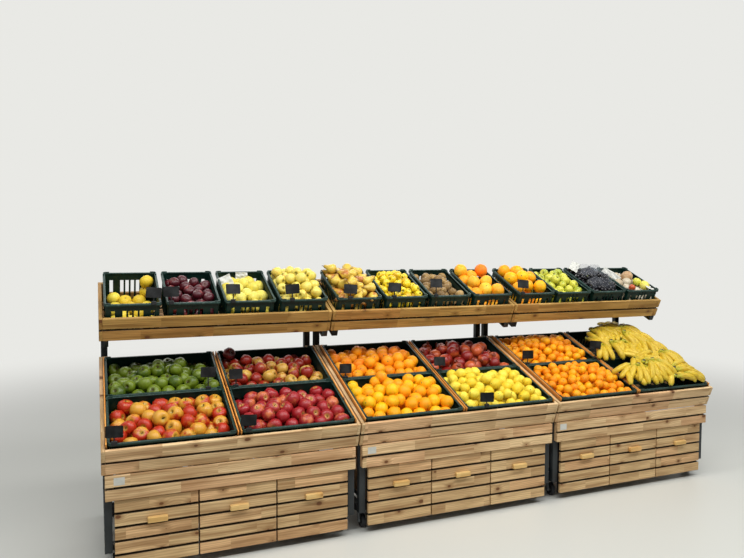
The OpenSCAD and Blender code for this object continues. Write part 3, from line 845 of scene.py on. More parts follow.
def crateRibs(size):  # upright ribs outside, between the slots
    bm = bmesh.new()
    points, slotted = crateOutline(size, crate["rim"], True)
    high = size["height"] - crate["rimHeight"] - rib["foot"]
    for k, (x, y) in enumerate(points):
        nextX, nextY = points[(k + 1) % len(points)]
        span = math.hypot(nextX - x, nextY - y)
        if not slotted[k - 1] or slotted[k] or span > rib["widestLand"]:
            continue
        alongX, alongY = (nextX - x) / span, (nextY - y) / span
        middleX, middleY = (x + nextX) / 2 + alongY * rib["out"], (y + nextY) / 2 - alongX * rib["out"]
        for vertex in bmesh.ops.create_cube(bm, size=1)["verts"]:
            u, v, w = vertex.co
            vertex.co = (middleX + alongX * u * rib["width"] + alongY * v * rib["depth"],
                         middleY + alongY * u * rib["width"] - alongX * v * rib["depth"],
                         rib["foot"] + (w + 0.5) * high)
    faceOutwards(bm)
    return markWorn(meshObject("ribs", bm), rib["worn"])


def crateLugs(size):  # stacking lugs that stand on the rim's corners
    bm = bmesh.new()
    radius, length, tall = crate["corner"], lug["length"], lug["height"]
    rings = []
    for inset in (lug["outside"], crate["rim"] - lug["inside"]):
        bend, turns = radius - inset, np.linspace(0, math.pi / 2, 5)
        arc = [(radius - bend * math.cos(a), radius - bend * math.sin(a)) for a in turns]
        rings.append([(inset, length), *arc, (length, inset)])
    for flipX in (False, True):
        for flipY in (False, True):
            columns = []
            for (x0, y0), (x1, y1) in zip(*rings):
                around = []
                for x, y, z in ((x0, y0, 0), (x0, y0, tall), (x1, y1, tall), (x1, y1, 0)):
                    x, y = (size["width"] - x if flipX else x), (size["depth"] - y if flipY else y)
                    around.append(bm.verts.new((x, y, size["height"] - lug["sunk"] + z)))
                columns.append(around)
            for first, second in zip(columns, columns[1:]):
                bridge(bm, first, second)
            bm.faces.new(columns[0])
            bm.faces.new(columns[-1][::-1])
    faceOutwards(bm)
    return markWorn(meshObject("lugs", bm), lug["worn"])


def makeCrate(size):
    return joinPieces("crate", [crateShell(size), crateRim(size), crateRibs(size), crateLugs(size)])


# The tiers of crates: the box that they lie in, its slope, the crates, how many stand in a row, and their names
tiers = {"low": ("tray_box", tray, lowCrate, 2, ["front_left", "front_right", "rear_left", "rear_right"]),
         "top": ("shelf_box", shelf, topCrate, 4, ["a", "b", "c", "d"])}


# A crate's lower front left corner in its tier's sloped frame; crates are counted from the front left
def crateCorner(tier, number):
    _, rules, size, inRow, _ = tiers[tier]
    column, row = number % inRow, number // inRow
    return Vector((size["left"] + column * size["step"], size["start"] + row * (size["depth"] + size["rowGap"]),
                   run["deck"] - rules["height"]))


def cratePlace(bay, tier, number):
    node, rules = tiers[tier][:2]
    return slopeOf(f"bay{bay}_{node}", rules) @ Matrix.Translation(crateCorner(tier, number))


crateMeshes = {"low": makeCrate(lowCrate), "top": makeCrate(topCrate)}
for bay in bays:
    rows = []
    for tier, row in (("low", 0), ("low", 1), ("top", 0)):
        inRow = tiers[tier][3]
        line = grow("crates", rowTree, {
            "Piece": crateMeshes[tier], "Count": inRow, "Step": crateCorner(tier, 1) - crateCorner(tier, 0),
            "Seed": 10 * bay + row, "Finish": cratePlastic})
        rows.append(place(line, cratePlace(bay, tier, row * inRow)))
    finish(joinPieces(f"bay{bay}_crate_shells", rows), "stand", "crate_plastic", f"bay{bay}_crates")
discard(*crateMeshes.values())
print("crates made")


def newSkinGroup(name, inputs):
    return newGroup(name, "ShaderNodeTree", [("Skin", "Vector"), ("Tint", "Float"), *inputs], surfaceOutputs)


# Skin of an apple: ground colour, blush in streaks, fine dots, a rusty cavity and a woody stem
def makeAppleGroup():
    graph, given, out = newSkinGroup("apple_skin", [
        ("Stem", "Float"), ("Ground", "Color"), ("Blush", "Color"), ("Cavity", "Color"),
        ("Share", "Float", 0.5), ("Spread", "Float", 0.3), ("Dots", "Float", 0.3)])
    x, y, z = graph.split(given["Skin"])
    fromAxis = graph.fromAxis(x, y)
    shifted = graph.shifted(given["Skin"], (13.0, 29.0, 7.0), given["Tint"])
    streaks = graph.noise(graph.stretched(shifted, 9, 9, 1.1), 1.0, 3, 0.6)
    patches = graph.noise(shifted, 1.3, 2)
    cheek = graph.plus(graph.timesPlus(x, 0.32, patches), graph.times(streaks, 0.5))
    swing = graph.times(graph.math("SUBTRACT", given["Tint"], 0.5), given["Spread"])
    edge = graph.math("SUBTRACT", 1.28, graph.timesPlus(given["Share"], 0.85, swing))
    blush = graph.step(cheek, graph.math("SUBTRACT", edge, 0.17), graph.plus(edge, 0.17))
    tone = graph.mix(blush, given["Ground"], given["Blush"])
    deep = graph.step(graph.noise(shifted, 2.4, 3), 0.35, 0.75, 0.0, 0.4)
    tone = graph.mix(deep, tone, graph.mix(1.0, tone, (0.66, 0.56, 0.55, 1), "MULTIPLY"))
    dots = graph.times(graph.step(graph.cells(given["Skin"], 9.0), 0.06, 0.16, 1.0, 0.0), given["Dots"])
    tone = graph.mix(dots, tone, graph.mix(0.6, given["Ground"], (0.9, 0.85, 0.6, 1)))
    upper, lower = graph.step(z, 0.2, 0.5), graph.step(z, -0.3, -0.6)
    top = graph.times(graph.step(fromAxis, 0.12, 0.5, 1.0, 0.0), upper)
    tone = graph.mix(graph.times(top, 0.85), tone, given["Cavity"])
    pit = graph.times(graph.step(fromAxis, 0.02, 0.12, 0.8, 0.0), upper)
    eye = graph.times(graph.step(fromAxis, 0.01, 0.13, 0.7, 0.0), lower)
    tone = graph.mix(graph.math("MAXIMUM", pit, eye), tone, colour(74, 52, 28))
    graph.feedAll(out, {"Color": graph.mix(given["Stem"], tone, colour(86, 60, 36)),
                        "Roughness": graph.step(patches, 0.3, 0.7, 0.30, 0.42),
                        "Height": graph.timesPlus(graph.noise(given["Skin"], 5.0, 2), 0.7, dots)})
    return graph.tree


# Peel of a citrus fruit: small variation, pores and a green button
def makePeelGroup():
    graph, given, out = newSkinGroup("peel", [("Light", "Color"), ("Deep", "Color"), ("Pores", "Float", 24.0)])
    x, y, z = graph.split(given["Skin"])
    fromAxis = graph.fromAxis(x, y)
    shifted = graph.shifted(given["Skin"], (11.0, 5.0, 17.0), given["Tint"])
    cloudy = graph.timesPlus(given["Tint"], 0.55, graph.noise(shifted, 1.6, 3))
    tone = graph.mix(graph.step(cloudy, 0.35, 1.1), given["Light"], given["Deep"])
    pores = graph.cells(given["Skin"], given["Pores"])
    tone = graph.mix(graph.step(pores, 0.1, 0.5, 0.18, 0.0), tone, given["Deep"])
    button = graph.times(graph.step(fromAxis, 0.06, 0.13, 1.0, 0.0), graph.step(z, 0.3, 0.6))
    tone = graph.mix(button, tone, colour(96, 104, 48))
    scar = graph.times(graph.step(fromAxis, 0.02, 0.10, 1.0, 0.0), graph.step(z, -0.3, -0.6))
    graph.feedAll(out, {"Color": graph.mix(scar, tone, colour(92, 60, 30)),
                        "Roughness": graph.step(cloudy, 0.3, 1.0, 0.36, 0.46),
                        "Height": graph.step(pores, 0.0, 0.45)})
    return graph.tree


# Banana skin along a finger, from the stem at 0 to the tip at 1
def makeBananaGroup():
    graph, given, out = newSkinGroup("banana_skin", [("Light", "Color"), ("Deep", "Color"), ("Green", "Color")])
    along, around, _ = graph.split(given["Skin"])
    shifted = graph.shifted(graph.stretched(given["Skin"], 4, 1, 9), (13.0, 7.0, 3.0), given["Tint"])
    cloudy = graph.noise(shifted, 1.3, 3)
    tone = graph.mix(graph.step(cloudy, 0.3, 0.75), given["Light"], given["Deep"])
    wave = graph.math("SINE", graph.times(around, 5.0))
    ridge = graph.math("POWER", graph.timesPlus(wave, 0.5, 0.5), 4.0)
    tone = graph.mix(graph.times(ridge, 0.25), tone, given["Deep"])
    tone = graph.mix(graph.step(along, 0.02, 0.34, 0.75, 0.0), tone, given["Green"])
    tone = graph.mix(graph.step(along, 0.90, 0.96, 0.0, 0.6), tone, given["Green"])
    spots = graph.noise(graph.stretched(shifted, 3, 3, 3), 1.6, 2)
    tone = graph.mix(graph.step(spots, 0.68, 0.76, 0.0, 0.5), tone, colour(122, 92, 40))
    tips = graph.math("MAXIMUM", graph.step(along, 0.965, 0.985), graph.step(along, 0.005, 0.0))
    graph.feedAll(out, {"Color": graph.mix(tips, tone, colour(58, 46, 30)),
                        "Roughness": graph.step(cloudy, 0.3, 0.8, 0.40, 0.52),
                        "Height": graph.plus(ridge, graph.times(spots, 0.5))})
    return graph.tree


appleSkin, peelSkin, bananaSkin = makeAppleGroup(), makePeelGroup(), makeBananaGroup()


def makeSkin(name, group, values, depth, settings):
    material, graph, shader = newMaterial(name, settings)
    inputs = {"Skin": graph.read("skin", "Vector"), "Tint": graph.read("tint"), **values}
    if group is appleSkin:
        inputs["Stem"] = graph.read("stem")
    dress(graph, shader, useGroup(graph, group, inputs), depth)
    return material


def makeApple(name, ground, blush, share, cavity=(150, 120, 50), spread=0.3, dots=0.3):
    return makeSkin(name, appleSkin, {
        "Ground": colour(*ground), "Blush": colour(*blush), "Cavity": colour(*cavity), "Share": share,
        "Spread": spread, "Dots": dots}, 0.0012,
        {"Specular IOR Level": 0.3, "Coat Weight": 0.2, "Coat Roughness": 0.18})


def makePeel(name, light, deep, pores=24.0, depth=0.0009, settings=None):
    return makeSkin(name, peelSkin, {"Light": colour(*light), "Deep": colour(*deep), "Pores": pores}, depth,
                    {"Specular IOR Level": 0.32, **(settings or {})})


def makeFilm():
    material, graph, shader = newMaterial("clear_film", {"Alpha": 0.11, "Specular IOR Level": 0.5})
    creases = graph.noise(graph.here(), 38.0, 4, 0.6)
    dress(graph, shader, {"Color": colour(150, 154, 164), "Height": creases,
                          "Roughness": graph.step(creases, 0.3, 0.7, 0.10, 0.24)}, 0.004)
    return material


skins = {
    "green": makeApple("green_apple", (104, 124, 22), (62, 86, 12), 0.45, (72, 76, 18)),
    "sunset": makeApple("bicolour_apple", (218, 160, 50), (184, 46, 17), 0.68, (180, 148, 50), 1.0),
    "red": makeApple("red_apple", (208, 112, 66), (156, 24, 32), 0.92, (206, 160, 84), 0.45),
    "mixed": makeApple("mixed_apple", (200, 156, 62), (142, 28, 12), 0.64, (146, 116, 42), 1.4),
    "plum": makeApple("dark_apple", (132, 38, 38), (72, 15, 26), 0.80, (84, 36, 28), 0.5, 0.12),
    "golden": makeApple("golden_apple", (232, 214, 98), (214, 174, 74), 0.30, (154, 140, 46), 0.4),
    "lime": makeApple("lime_apple", (208, 206, 68), (162, 176, 48), 0.42, (130, 134, 40)),
    "yellow": makeApple("small_yellow_apple", (238, 212, 40), (216, 172, 30), 0.32, (150, 136, 36)),
    "pear": makeApple("pear", (222, 190, 76), (182, 112, 44), 0.42, (136, 94, 44), 0.8, 0.6),
    "pomegranate": makeApple("pomegranate", (190, 86, 42), (132, 24, 19), 0.7, (118, 46, 27), 0.5, 0.1),
    "orange": makePeel("orange", (252, 172, 14), (242, 132, 5)),
    "sweet": makePeel("yellow_orange", (255, 202, 16), (250, 162, 8)),
    "mandarin": makePeel("mandarin", (255, 186, 16), (247, 144, 4), 18.0, 0.0011),
    "grapefruit": makePeel("grapefruit", (254, 202, 58), (249, 162, 24)),
    "blood": makePeel("red_orange", (252, 142, 22), (243, 112, 9)),
    "lemon": makePeel("lemon", (250, 230, 82), (238, 204, 44), 20.0),
    "paleLemon": makePeel("pale_lemon", (238, 227, 116), (222, 203, 74), 20.0),
    "quince": makePeel("quince", (244, 222, 78), (222, 188, 46), 10.0, 0.0006),
    "kiwi": makePeel("kiwi", (176, 142, 82), (118, 89, 44), 60.0, 0.0006, {"Sheen Weight": 0.15}),
    "tan": makePeel("tan_produce", (206, 176, 132), (162, 116, 78), 14.0),
    "cream": makePeel("pale_bulbs", (214, 207, 186), (184, 168, 140), 8.0),
    "grape": makePeel("black_grape", (24, 21, 28), (10, 9, 13), 4.0, 0.0002, {"Coat Weight": 0.3}),
    "banana": makeSkin("banana", bananaSkin, {"Light": colour(228, 199, 60), "Deep": colour(194, 156, 34),
                                              "Green": colour(166, 174, 54)}, 0.0008,
                         {"Specular IOR Level": 0.4}),
}
film = makeFilm()
print("fruit skins made")


# Outlines of one fruit as (radius, height) points from base to top, in radii, and its bulk against a ball's
forms = {
    "apple": {"bulk": 0.92, "stem": (0.46, 0.98), "outline": [
        (0, -0.72), (0.34, -0.86), (0.78, -0.60), (1.0, 0.0), (0.88, 0.56), (0.50, 0.84), (0.16, 0.70),
        (0, 0.50)]},
    "plum": {"bulk": 0.95, "outline": [
        (0, -0.90), (0.50, -0.80), (0.90, -0.40), (1.0, 0.05), (0.84, 0.55), (0.45, 0.82), (0.12, 0.72),
        (0, 0.62)]},
    "orange": {"bulk": 0.95, "outline": [
        (0, -0.95), (0.5, -0.83), (0.87, -0.46), (1.0, 0), (0.87, 0.46), (0.5, 0.82), (0, 0.92)]},
    "lemon": {"bulk": 1.08, "outline": [
        (0, -1.20), (0.20, -1.06), (0.66, -0.80), (0.97, -0.26), (0.97, 0.26), (0.66, 0.80), (0.22, 1.06),
        (0, 1.12)]},
    "oval": {"bulk": 1.06, "outline": [
        (0, -1.18), (0.5, -1.0), (0.88, -0.52), (1.0, 0.02), (0.86, 0.56), (0.48, 1.0), (0, 1.15)]},
    "pear": {"bulk": 1.14, "stem": (1.58, 2.0), "outline": [
        (0, -0.82), (0.42, -0.88), (0.90, -0.50), (0.97, -0.02), (0.66, 0.52), (0.41, 1.02), (0.31, 1.46),
        (0.20, 1.62), (0, 1.62)]},
    "pomegranate": {"bulk": 0.96, "outline": [
        (0, -0.88), (0.5, -0.82), (0.9, -0.42), (1.0, 0.05), (0.82, 0.6), (0.36, 0.88), (0.18, 1.0),
        (0.28, 1.20), (0.10, 1.02), (0, 0.94)]},
    "bunch": {"bulk": 1.0},
}
# How uneven a fruit is across and in height, its stem's thickness at foot and head, and its lean, all in radii
growth = {"steps": 12, "lobes": (0.03, 0.02), "slant": 0.04, "stem": (0.045, 0.06), "lean": 0.16}
bunch = {"berries": 17, "berry": 0.31, "spread": 0.70, "steps": 7, "stray": 0.2, "reach": (0.88, 1.08),
         "outline": [(0, -1.0), (0.78, -0.62), (0.98, 0.2), (0.62, 0.80), (0, 1.0)]}


def makeFruit(form, seed):
    rng = np.random.default_rng(seed)
    shape = forms[form]
    bm = bmesh.new()
    lathe(bm, shape["outline"], growth["steps"])
    lumps = rng.uniform(0, 2 * math.pi, 3)
    two, three = growth["lobes"]
    for vertex in bm.verts:
        angle = math.atan2(vertex.co.y, vertex.co.x)
        swell = 1 + two * math.sin(2 * angle + lumps[0]) + three * math.sin(3 * angle + lumps[1] + vertex.co.z)
        vertex.co.x, vertex.co.y = vertex.co.x * swell, vertex.co.y * swell
        vertex.co.z *= 1 + growth["slant"] * math.sin(angle + lumps[2])
    bodyCount = len(bm.verts)
    if "stem" in shape:
        lean, turns = rng.uniform(-growth["lean"], growth["lean"], 2), (0, 2.1, 4.2)
        lower, upper = ([bm.verts.new((radius * math.cos(a) + x, radius * math.sin(a) + y, z)) for a in turns]
                        for radius, (x, y), z in zip(growth["stem"], ((0, 0), lean), shape["stem"]))
        bridge(bm, lower, upper)
        bm.faces.new(upper)
        bm.faces.new(lower[::-1])
    fruit = meshObject("fruit", bm)
    count = len(fruit.data.vertices)
    store(fruit.data, "skin", "FLOAT_VECTOR", vectors(fruit.data))
    store(fruit.data, "stem", "FLOAT", [0.0] * bodyCount + [1.0] * (count - bodyCount))
    return fruit


# A tight bunch of berries round a middle, on a spiral over a ball
def makeBunch(seed):
    rng = np.random.default_rng(seed)
    bm = bmesh.new()
    for k in range(bunch["berries"]):
        level = 1 - 2 * (k + 0.5) / bunch["berries"]
        angle = k * math.pi * (3 - math.sqrt(5)) + rng.uniform(-bunch["stray"], bunch["stray"])
        flat = math.sqrt(1 - level * level)
        outward = Vector((flat * math.cos(angle), flat * math.sin(angle), level))
        spot = outward * bunch["spread"] * rng.uniform(*bunch["reach"])
        first = len(bm.verts)
        lathe(bm, bunch["outline"], bunch["steps"])
        bm.verts.ensure_lookup_table()
        turn = Vector((0, 0, 1)).rotation_difference(spot).to_matrix()
        for vertex in bm.verts[first:]:
            vertex.co = spot + turn @ vertex.co * bunch["berry"]
    fruit = meshObject("bunch", bm)
    store(fruit.data, "skin", "FLOAT_VECTOR", vectors(fruit.data))
    return fruit


# Copies of one thing on points that hold its turn, size and tint
def makeHeapTree():
    graph, given, out = newGroup("heap", "GeometryNodeTree", [
        ("Points", "Geometry"), ("Piece", "Object"), ("Finish", "Material")], [("Geometry", "Geometry")])
    turn, size = (graph.add("GeometryNodeInputNamedAttribute", {"Name": name},
                            data_type="FLOAT_VECTOR").outputs[0] for name in ("turn", "size"))
    piece = graph.add("GeometryNodeObjectInfo", {"Object": given["Piece"]})
    rotation = graph.add("FunctionNodeEulerToRotation", {0: turn}).outputs[0]
    copies = graph.add("GeometryNodeInstanceOnPoints", {
        "Points": given["Points"], "Instance": piece.outputs["Geometry"], "Rotation": rotation, "Scale": size})
    return endTree(graph, out, copies.outputs[0], given["Finish"])


heapTree = makeHeapTree()


def scatter(name, piece, material, spots, turns, sizes, tints):
    points = bpy.data.meshes.new(name)
    points.from_pydata([tuple(spot) for spot in spots], [], [])
    store(points, "turn", "FLOAT_VECTOR", turns)
    store(points, "size", "FLOAT_VECTOR", sizes)
    store(points, "tint", "FLOAT", tints)
    heap = grow(name, heapTree, {"Piece": piece, "Finish": material}, points)
    discard(piece)
    return heap


# How high a heap reaches above its crate's underside; heap is (edge above the rim, crown, how much lower its
# rear lies), and pivot is how far back the lean leaves the height as it is
heaping = {"clear": 0.001, "pivot": 0.3}


def heapTop(size, heap, x, y):
    edge, crown, lean = heap
    inset = crate["rim"] + crate["wall"] + heaping["clear"]
    half = size["width"] / 2 - inset
    bend = (half ** 2 + crown ** 2) / (2 * crown)
    across = crown - bend + np.sqrt(np.maximum(bend ** 2 - (x - size["width"] / 2) ** 2, 0.0))
    share = np.clip((y - inset) / (size["depth"] - 2 * inset), 0.0, 1.0)
    climb = np.where(share < size["peak"], share / size["peak"], (1 - share) / (1 - size["peak"]))
    slope = np.minimum(across, crown * np.sin(climb * math.pi / 2))
    return size["height"] + edge + slope + lean * (heaping["pivot"] - share)


def topAt(size, heap, x, y):
    return float(heapTop(size, heap, np.array(x), np.array(y)))


# Rounds of settling: how far balls sink and how hard they push apart, how high they start, how near the floor
settling = {"steps": 110, "pushes": 4, "drop": 0.003, "push": 0.42, "spread": 0.9, "bedding": 0.96}


# Lets balls sink in a crate and pushes them apart until they rest under the heap's top; held ones stay put
def settle(radii, size, heap, held, depths, seed):
    rng = np.random.default_rng(seed)
    count, wall, bed = len(radii), crate["rim"] + crate["wall"], crate["floor"]
    low = np.column_stack([wall + radii, wall + radii])
    high = np.column_stack([size["width"] - wall - radii, size["depth"] - wall - radii])
    spots = np.column_stack([rng.uniform(low, high),
                             bed + radii + rng.uniform(0, 1, count) * size["height"] * settling["spread"]])
    spots[:len(held)] = held
    apart = radii[:, None] + radii[None, :]
    np.fill_diagonal(apart, 0.0)
    for turn in range(settling["steps"]):
        spots[:, 2] -= settling["drop"] * (1 - turn / settling["steps"])
        for _ in range(settling["pushes"]):
            offset = spots[:, None, :] - spots[None, :, :]
            distance = np.sqrt((offset ** 2).sum(axis=2)) + 1e-9
            overlap = np.maximum(0.0, apart - distance) / distance
            spots += settling["push"] * (offset * overlap[:, :, None]).sum(axis=1)
            spots[:, :2] = np.clip(spots[:, :2], low, high)
            roof = heapTop(size, heap, spots[:, 0], spots[:, 1]) - radii * depths
            spots[:, 2] = np.maximum(np.minimum(spots[:, 2], roof), bed + radii * settling["bedding"])
            spots[:len(held)] = held
    return spots


# Each kind of goods: its form, its radius in metres, how far it tips over, and its skin
kinds = {
    "green": ("apple", 0.0395, 1.1, "green"), "sunset": ("apple", 0.0405, 1.2, "sunset"),
    "red": ("apple", 0.0400, 1.1, "red"), "mixed": ("apple", 0.0390, 1.3, "mixed"),
    "orange": ("orange", 0.0388, 1.5, "orange"), "sweet": ("orange", 0.0388, 1.5, "sweet"),
    "lemon": ("lemon", 0.0320, 1.5, "lemon"), "pomegranate": ("pomegranate", 0.0420, 1.3, "pomegranate"),
    "mandarin": ("orange", 0.0290, 1.5, "mandarin"), "quince": ("plum", 0.0410, 1.4, "quince"),
    "plum": ("plum", 0.0345, 1.2, "plum"), "paleLemon": ("oval", 0.0345, 1.5, "paleLemon"),
    "golden": ("apple", 0.0340, 1.1, "golden"), "pear": ("pear", 0.0320, 1.5, "pear"),
    "yellow": ("apple", 0.0270, 1.1, "yellow"), "kiwi": ("oval", 0.0265, 1.5, "kiwi"),
    "grapefruit": ("orange", 0.0460, 1.5, "grapefruit"), "bigOrange": ("orange", 0.0460, 1.5, "sweet"),
    "lime": ("apple", 0.0340, 1.1, "lime"), "cream": ("oval", 0.0340, 1.5, "cream"),
    "bunch": ("bunch", 0.0340, 3.1, "grape"),
}

# What lies in each crate as (kind, edge above the rim, crown, lean): the tray's front row, then its rear row
goods = {
    (1, "low"): [("sunset", -0.006, 0.042, 0.026), ("red", -0.006, 0.046, 0.036),
                 ("green", -0.014, 0.054, 0.040), ("mixed", -0.016, 0.056, 0.040)],
    (2, "low"): [("sweet", -0.006, 0.056, -0.006), ("lemon", -0.006, 0.080, -0.016),
                 ("orange", -0.014, 0.064, 0.030), ("pomegranate", -0.016, 0.060, 0.030)],
    (3, "low"): [("mandarin", -0.006, 0.074, 0.0), ("banana", 0.030, 0.106, 0.0),
                 ("mandarin", -0.010, 0.084, 0.020), ("banana", 0.030, 0.096, 0.0)],
    (1, "top"): [("quince", -0.118, 0.012, 0.0), ("plum", -0.044, 0.062, 0.0),
                 ("paleLemon", -0.036, 0.054, 0.0), ("golden", -0.024, 0.120, 0.0)],
    (2, "top"): [("pear", -0.024, 0.142, 0.0), ("yellow", -0.030, 0.084, 0.0), ("kiwi", -0.040, 0.058, 0.0),
                 ("grapefruit", -0.044, 0.092, 0.0)],
    (3, "top"): [("bigOrange", -0.034, 0.080, 0.0), ("lime", -0.032, 0.078, 0.0), ("bunch", -0.024, 0.096, 0.0),
                 ("cream", -0.036, 0.042, 0.0)],
}

# Large fruits whose places are known, in millimetres from their crate's lower front left corner
heldFruits = {
    (1, "top", 0): [(54, 60, 44), (138, 64, 44), (226, 58, 44), (96, 134, 44), (182, 138, 44), (58, 206, 44),
                    (142, 214, 44), (228, 212, 44), (56, 322, 52), (114, 288, 46), (190, 292, 46),
                    (227, 322, 92), (228, 318, 156)],
    (2, "top", 3): [(54, 316, 206), (61, 262, 152), (132, 296, 172), (94, 190, 182), (187, 190, 184),
                    (149, 118, 164), (226, 92, 170), (66, 90, 150)],
    (3, "top", 0): [(60, 316, 198), (158, 304, 198), (60, 222, 190), (148, 216, 204), (226, 232, 190),
                    (140, 126, 180), (222, 96, 186), (60, 112, 168)],
}
# How much of a heap's space the fruits fill, the range of their sizes, how many of their radii they lie under its
# top and how much more beside held ones, and how far each is drawn out of round; tight goods lie closer or higher
filling = {"share": 0.60, "samples": 40, "sizes": (0.91, 1.06), "depth": 0.9, "uneven": (-0.35, 0.65),
           "besideHeld": 1.3, "stretch": (0.96, 1.04), "bunchSize": 1.12,
           "tight": {"pear": 1.14, "kiwi": 1.1, "golden": 1.06, "lemon": 1.06, "mandarin": 1.04}}


def makeHeap(name, key, kind, heap, size, seed):
    form, radius, tip, skin = kinds[kind]
    rng = np.random.default_rng(seed)
    wall = crate["rim"] + crate["wall"]
    across, along = np.meshgrid(*(np.linspace(wall, size[side] - wall, filling["samples"])
                                  for side in ("width", "depth")))
    space = (heapTop(size, heap, across, along) - crate["floor"]).mean()
    space *= (size["width"] - 2 * wall) * (size["depth"] - 2 * wall)
    one = 4 / 3 * math.pi * radius ** 3 * forms[form]["bulk"]
    held = np.array(heldFruits.get(key, []), float).reshape(-1, 3) / 1000
    count = len(held)
    if kind != "quince":  # the quinces are the few at the bottom of a nearly empty crate
        count = max(int(filling["share"] * filling["tight"].get(kind, 1.0) * space / one), len(held))
    radii = radius * rng.uniform(*filling["sizes"], count)
    lower = filling["besideHeld"] if len(held) else 0.0
    depths = filling["depth"] + rng.uniform(*filling["uneven"], count) + lower
    spots = settle(radii, size, heap, held, depths, seed)
    turns = np.column_stack([rng.uniform(-tip, tip, count), rng.uniform(-tip, tip, count),
                             rng.uniform(0, 2 * math.pi, count)])
    sizes = radii[:, None] * rng.uniform(*filling["stretch"], (count, 3))
    if form == "bunch":
        sizes *= filling["bunchSize"]
    fruit = makeBunch(seed) if form == "bunch" else makeFruit(form, seed)
    return scatter(name, fruit, skins[skin], spots, turns, sizes, rng.uniform(0, 1, count))


# Single fruits that lie on another kind, as (form, skin, radius in metres, place in its crate in millimetres)
singles = {
    (2, "top", 3): [("orange", "blood", 0.046, (212, 310, 208))],
    (2, "low", 0): [("orange", "orange", 0.038, (226, 356, 158))],
    (1, "low", 3): [("apple", "plum", 0.038, (62, 340, 148))],
    (3, "top", 3): [("oval", "tan", 0.042, (166, 222, 186)), ("plum", "pomegranate", 0.026, (86, 66, 178)),
                    ("oval", "paleLemon", 0.034, (232, 96, 176)), ("oval", "lime", 0.030, (206, 150, 180))],
}


def makeSingles(key):
    return [scatter("single", makeFruit(form, 7 + index), skins[skin], [Vector(spot) / 1000],
                    [(0.5, 0.4 + 0.3 * index, index)], [(radius,) * 3], [0.3])
            for index, (form, skin, radius, spot) in enumerate(singles.get(key, []))]


# A finger: length of its back's arc, thickness, radius of its bend, and its girth along it
banana = {"length": 0.174, "radius": 0.0215, "bend": 0.19, "sides": 8, "rings": 9, "corners": (0.98, 1.05),
          "girth": [(0, 0.30), (0.10, 0.42), (0.21, 0.86), (0.5, 1.0), (0.82, 0.92), (0.93, 0.66), (1.0, 0.24)]}
banana["chord"] = 2 * banana["bend"] * math.sin(banana["length"] / banana["bend"] / 2)

# How hands lie: how far apart fingers start, how far crowns stand over the heap's top, how high tips may stand at
# the front edge and how fast that rises behind it, how fingers vary, and the extra hands that fill the crate
handRules = {"neck": 0.013, "under": 0.013, "lift": -0.020, "tipUp": 0.010, "clear": 0.012, "climb": 0.35,
             "inside": 0.012, "behind": 0.03, "steepest": 0.9, "over": -0.004, "stray": 3, "roll": 0.5,
             "narrow": (50, 0.4), "wobble": 0.12, "scales": (0.90, 1.04), "widths": (0.94, 1.06),
             "fillers": 8, "fillerLift": -0.062, "fillerPlaces": ((90, 500), (90, 330)), "fillerHand": (60, 4)}
lump = {"size": 0.0135, "longer": 1.5, "up": 0.002, "turn": 0.3,
        "outline": [(0, -0.8), (0.8, -0.55), (1.0, 0.1), (0.7, 0.9), (0, 1.05)]}

# Hands of bananas in the front and rear crates: how near the crate's front edge their tips may reach in metres,
# then the crown's place across and up the crate in millimetres, heading and spread in degrees, and fingers
handRows = [
    (0.012, [(112, 182, -112, 124, 8), (218, 140, -84, 70, 5), (350, 104, 6, 20, 3), (330, 60, -4, 12, 2),
             (402, 84, -8, 22, 3), (155, 186, -16, 16, 3), (400, 282, -74, 66, 5), (34, 176, -104, 30, 2),
             (300, 340, -90, 60, 4)]),
    (-0.060, [(278, 88, -116, 26, 3), (413, 72, -128, 30, 3), (76, 90, -112, 24, 3), (166, 96, -64, 40, 3),
              (337, 182, -58, 36, 4), (129, 287, -56, 26, 3), (84, 215, -53, 24, 3), (480, 200, -62, 42, 4),
              (500, 95, -76, 42, 4), (380, 262, -70, 42, 4), (440, 320, -80, 44, 4), (230, 300, -84, 50, 4)]),
]


# One finger, its chord along x and its back arched upwards; its skin runs from the stem at 0 to the tip at 1
def makeFinger():
    bm = bmesh.new()
    shares, girths = zip(*banana["girth"])
    half, bend = banana["length"] / banana["bend"] / 2, banana["bend"]
    rings, skin = [], []
    for k in range(banana["rings"] + 1):
        share = k / banana["rings"]
        angle = half * (1 - 2 * share)
        middle = Vector((bend * (math.sin(half) - math.sin(angle)), 0,
                         bend * (math.cos(angle) - math.cos(half))))
        outward = Vector((-math.sin(angle), 0, math.cos(angle)))
        radius = banana["radius"] * float(np.interp(share, shares, girths))
        ring = []
        for i in range(banana["sides"]):
            turn = 2 * math.pi * i / banana["sides"]
            side = outward * math.cos(turn) + Vector((0, math.sin(turn), 0))
            ring.append(bm.verts.new(middle + side * radius * banana["corners"][i % 2]))
            skin.append((share, turn, 0.0))
        rings.append(ring)
    for lower, upper in zip(rings, rings[1:]):
        bridge(bm, lower, upper)
    bm.faces.new(rings[0][::-1])
    bm.faces.new(rings[-1])
    faceOutwards(bm)
    shade(bm, lambda face: len(face.verts) == 4)
    finger = meshObject("finger", bm)
    store(finger.data, "skin", "FLOAT_VECTOR", skin)
    return finger


def makeLump():  # the cut crown that holds a hand together
    bm = bmesh.new()
    lathe(bm, lump["outline"], 8)
    thing = meshObject("lump", bm)
    skin = [(0.0 if z > 0.5 else 0.06, 0.0, 0.0) for _, _, z in vectors(thing.data)]
    store(thing.data, "skin", "FLOAT_VECTOR", skin)
    return thing


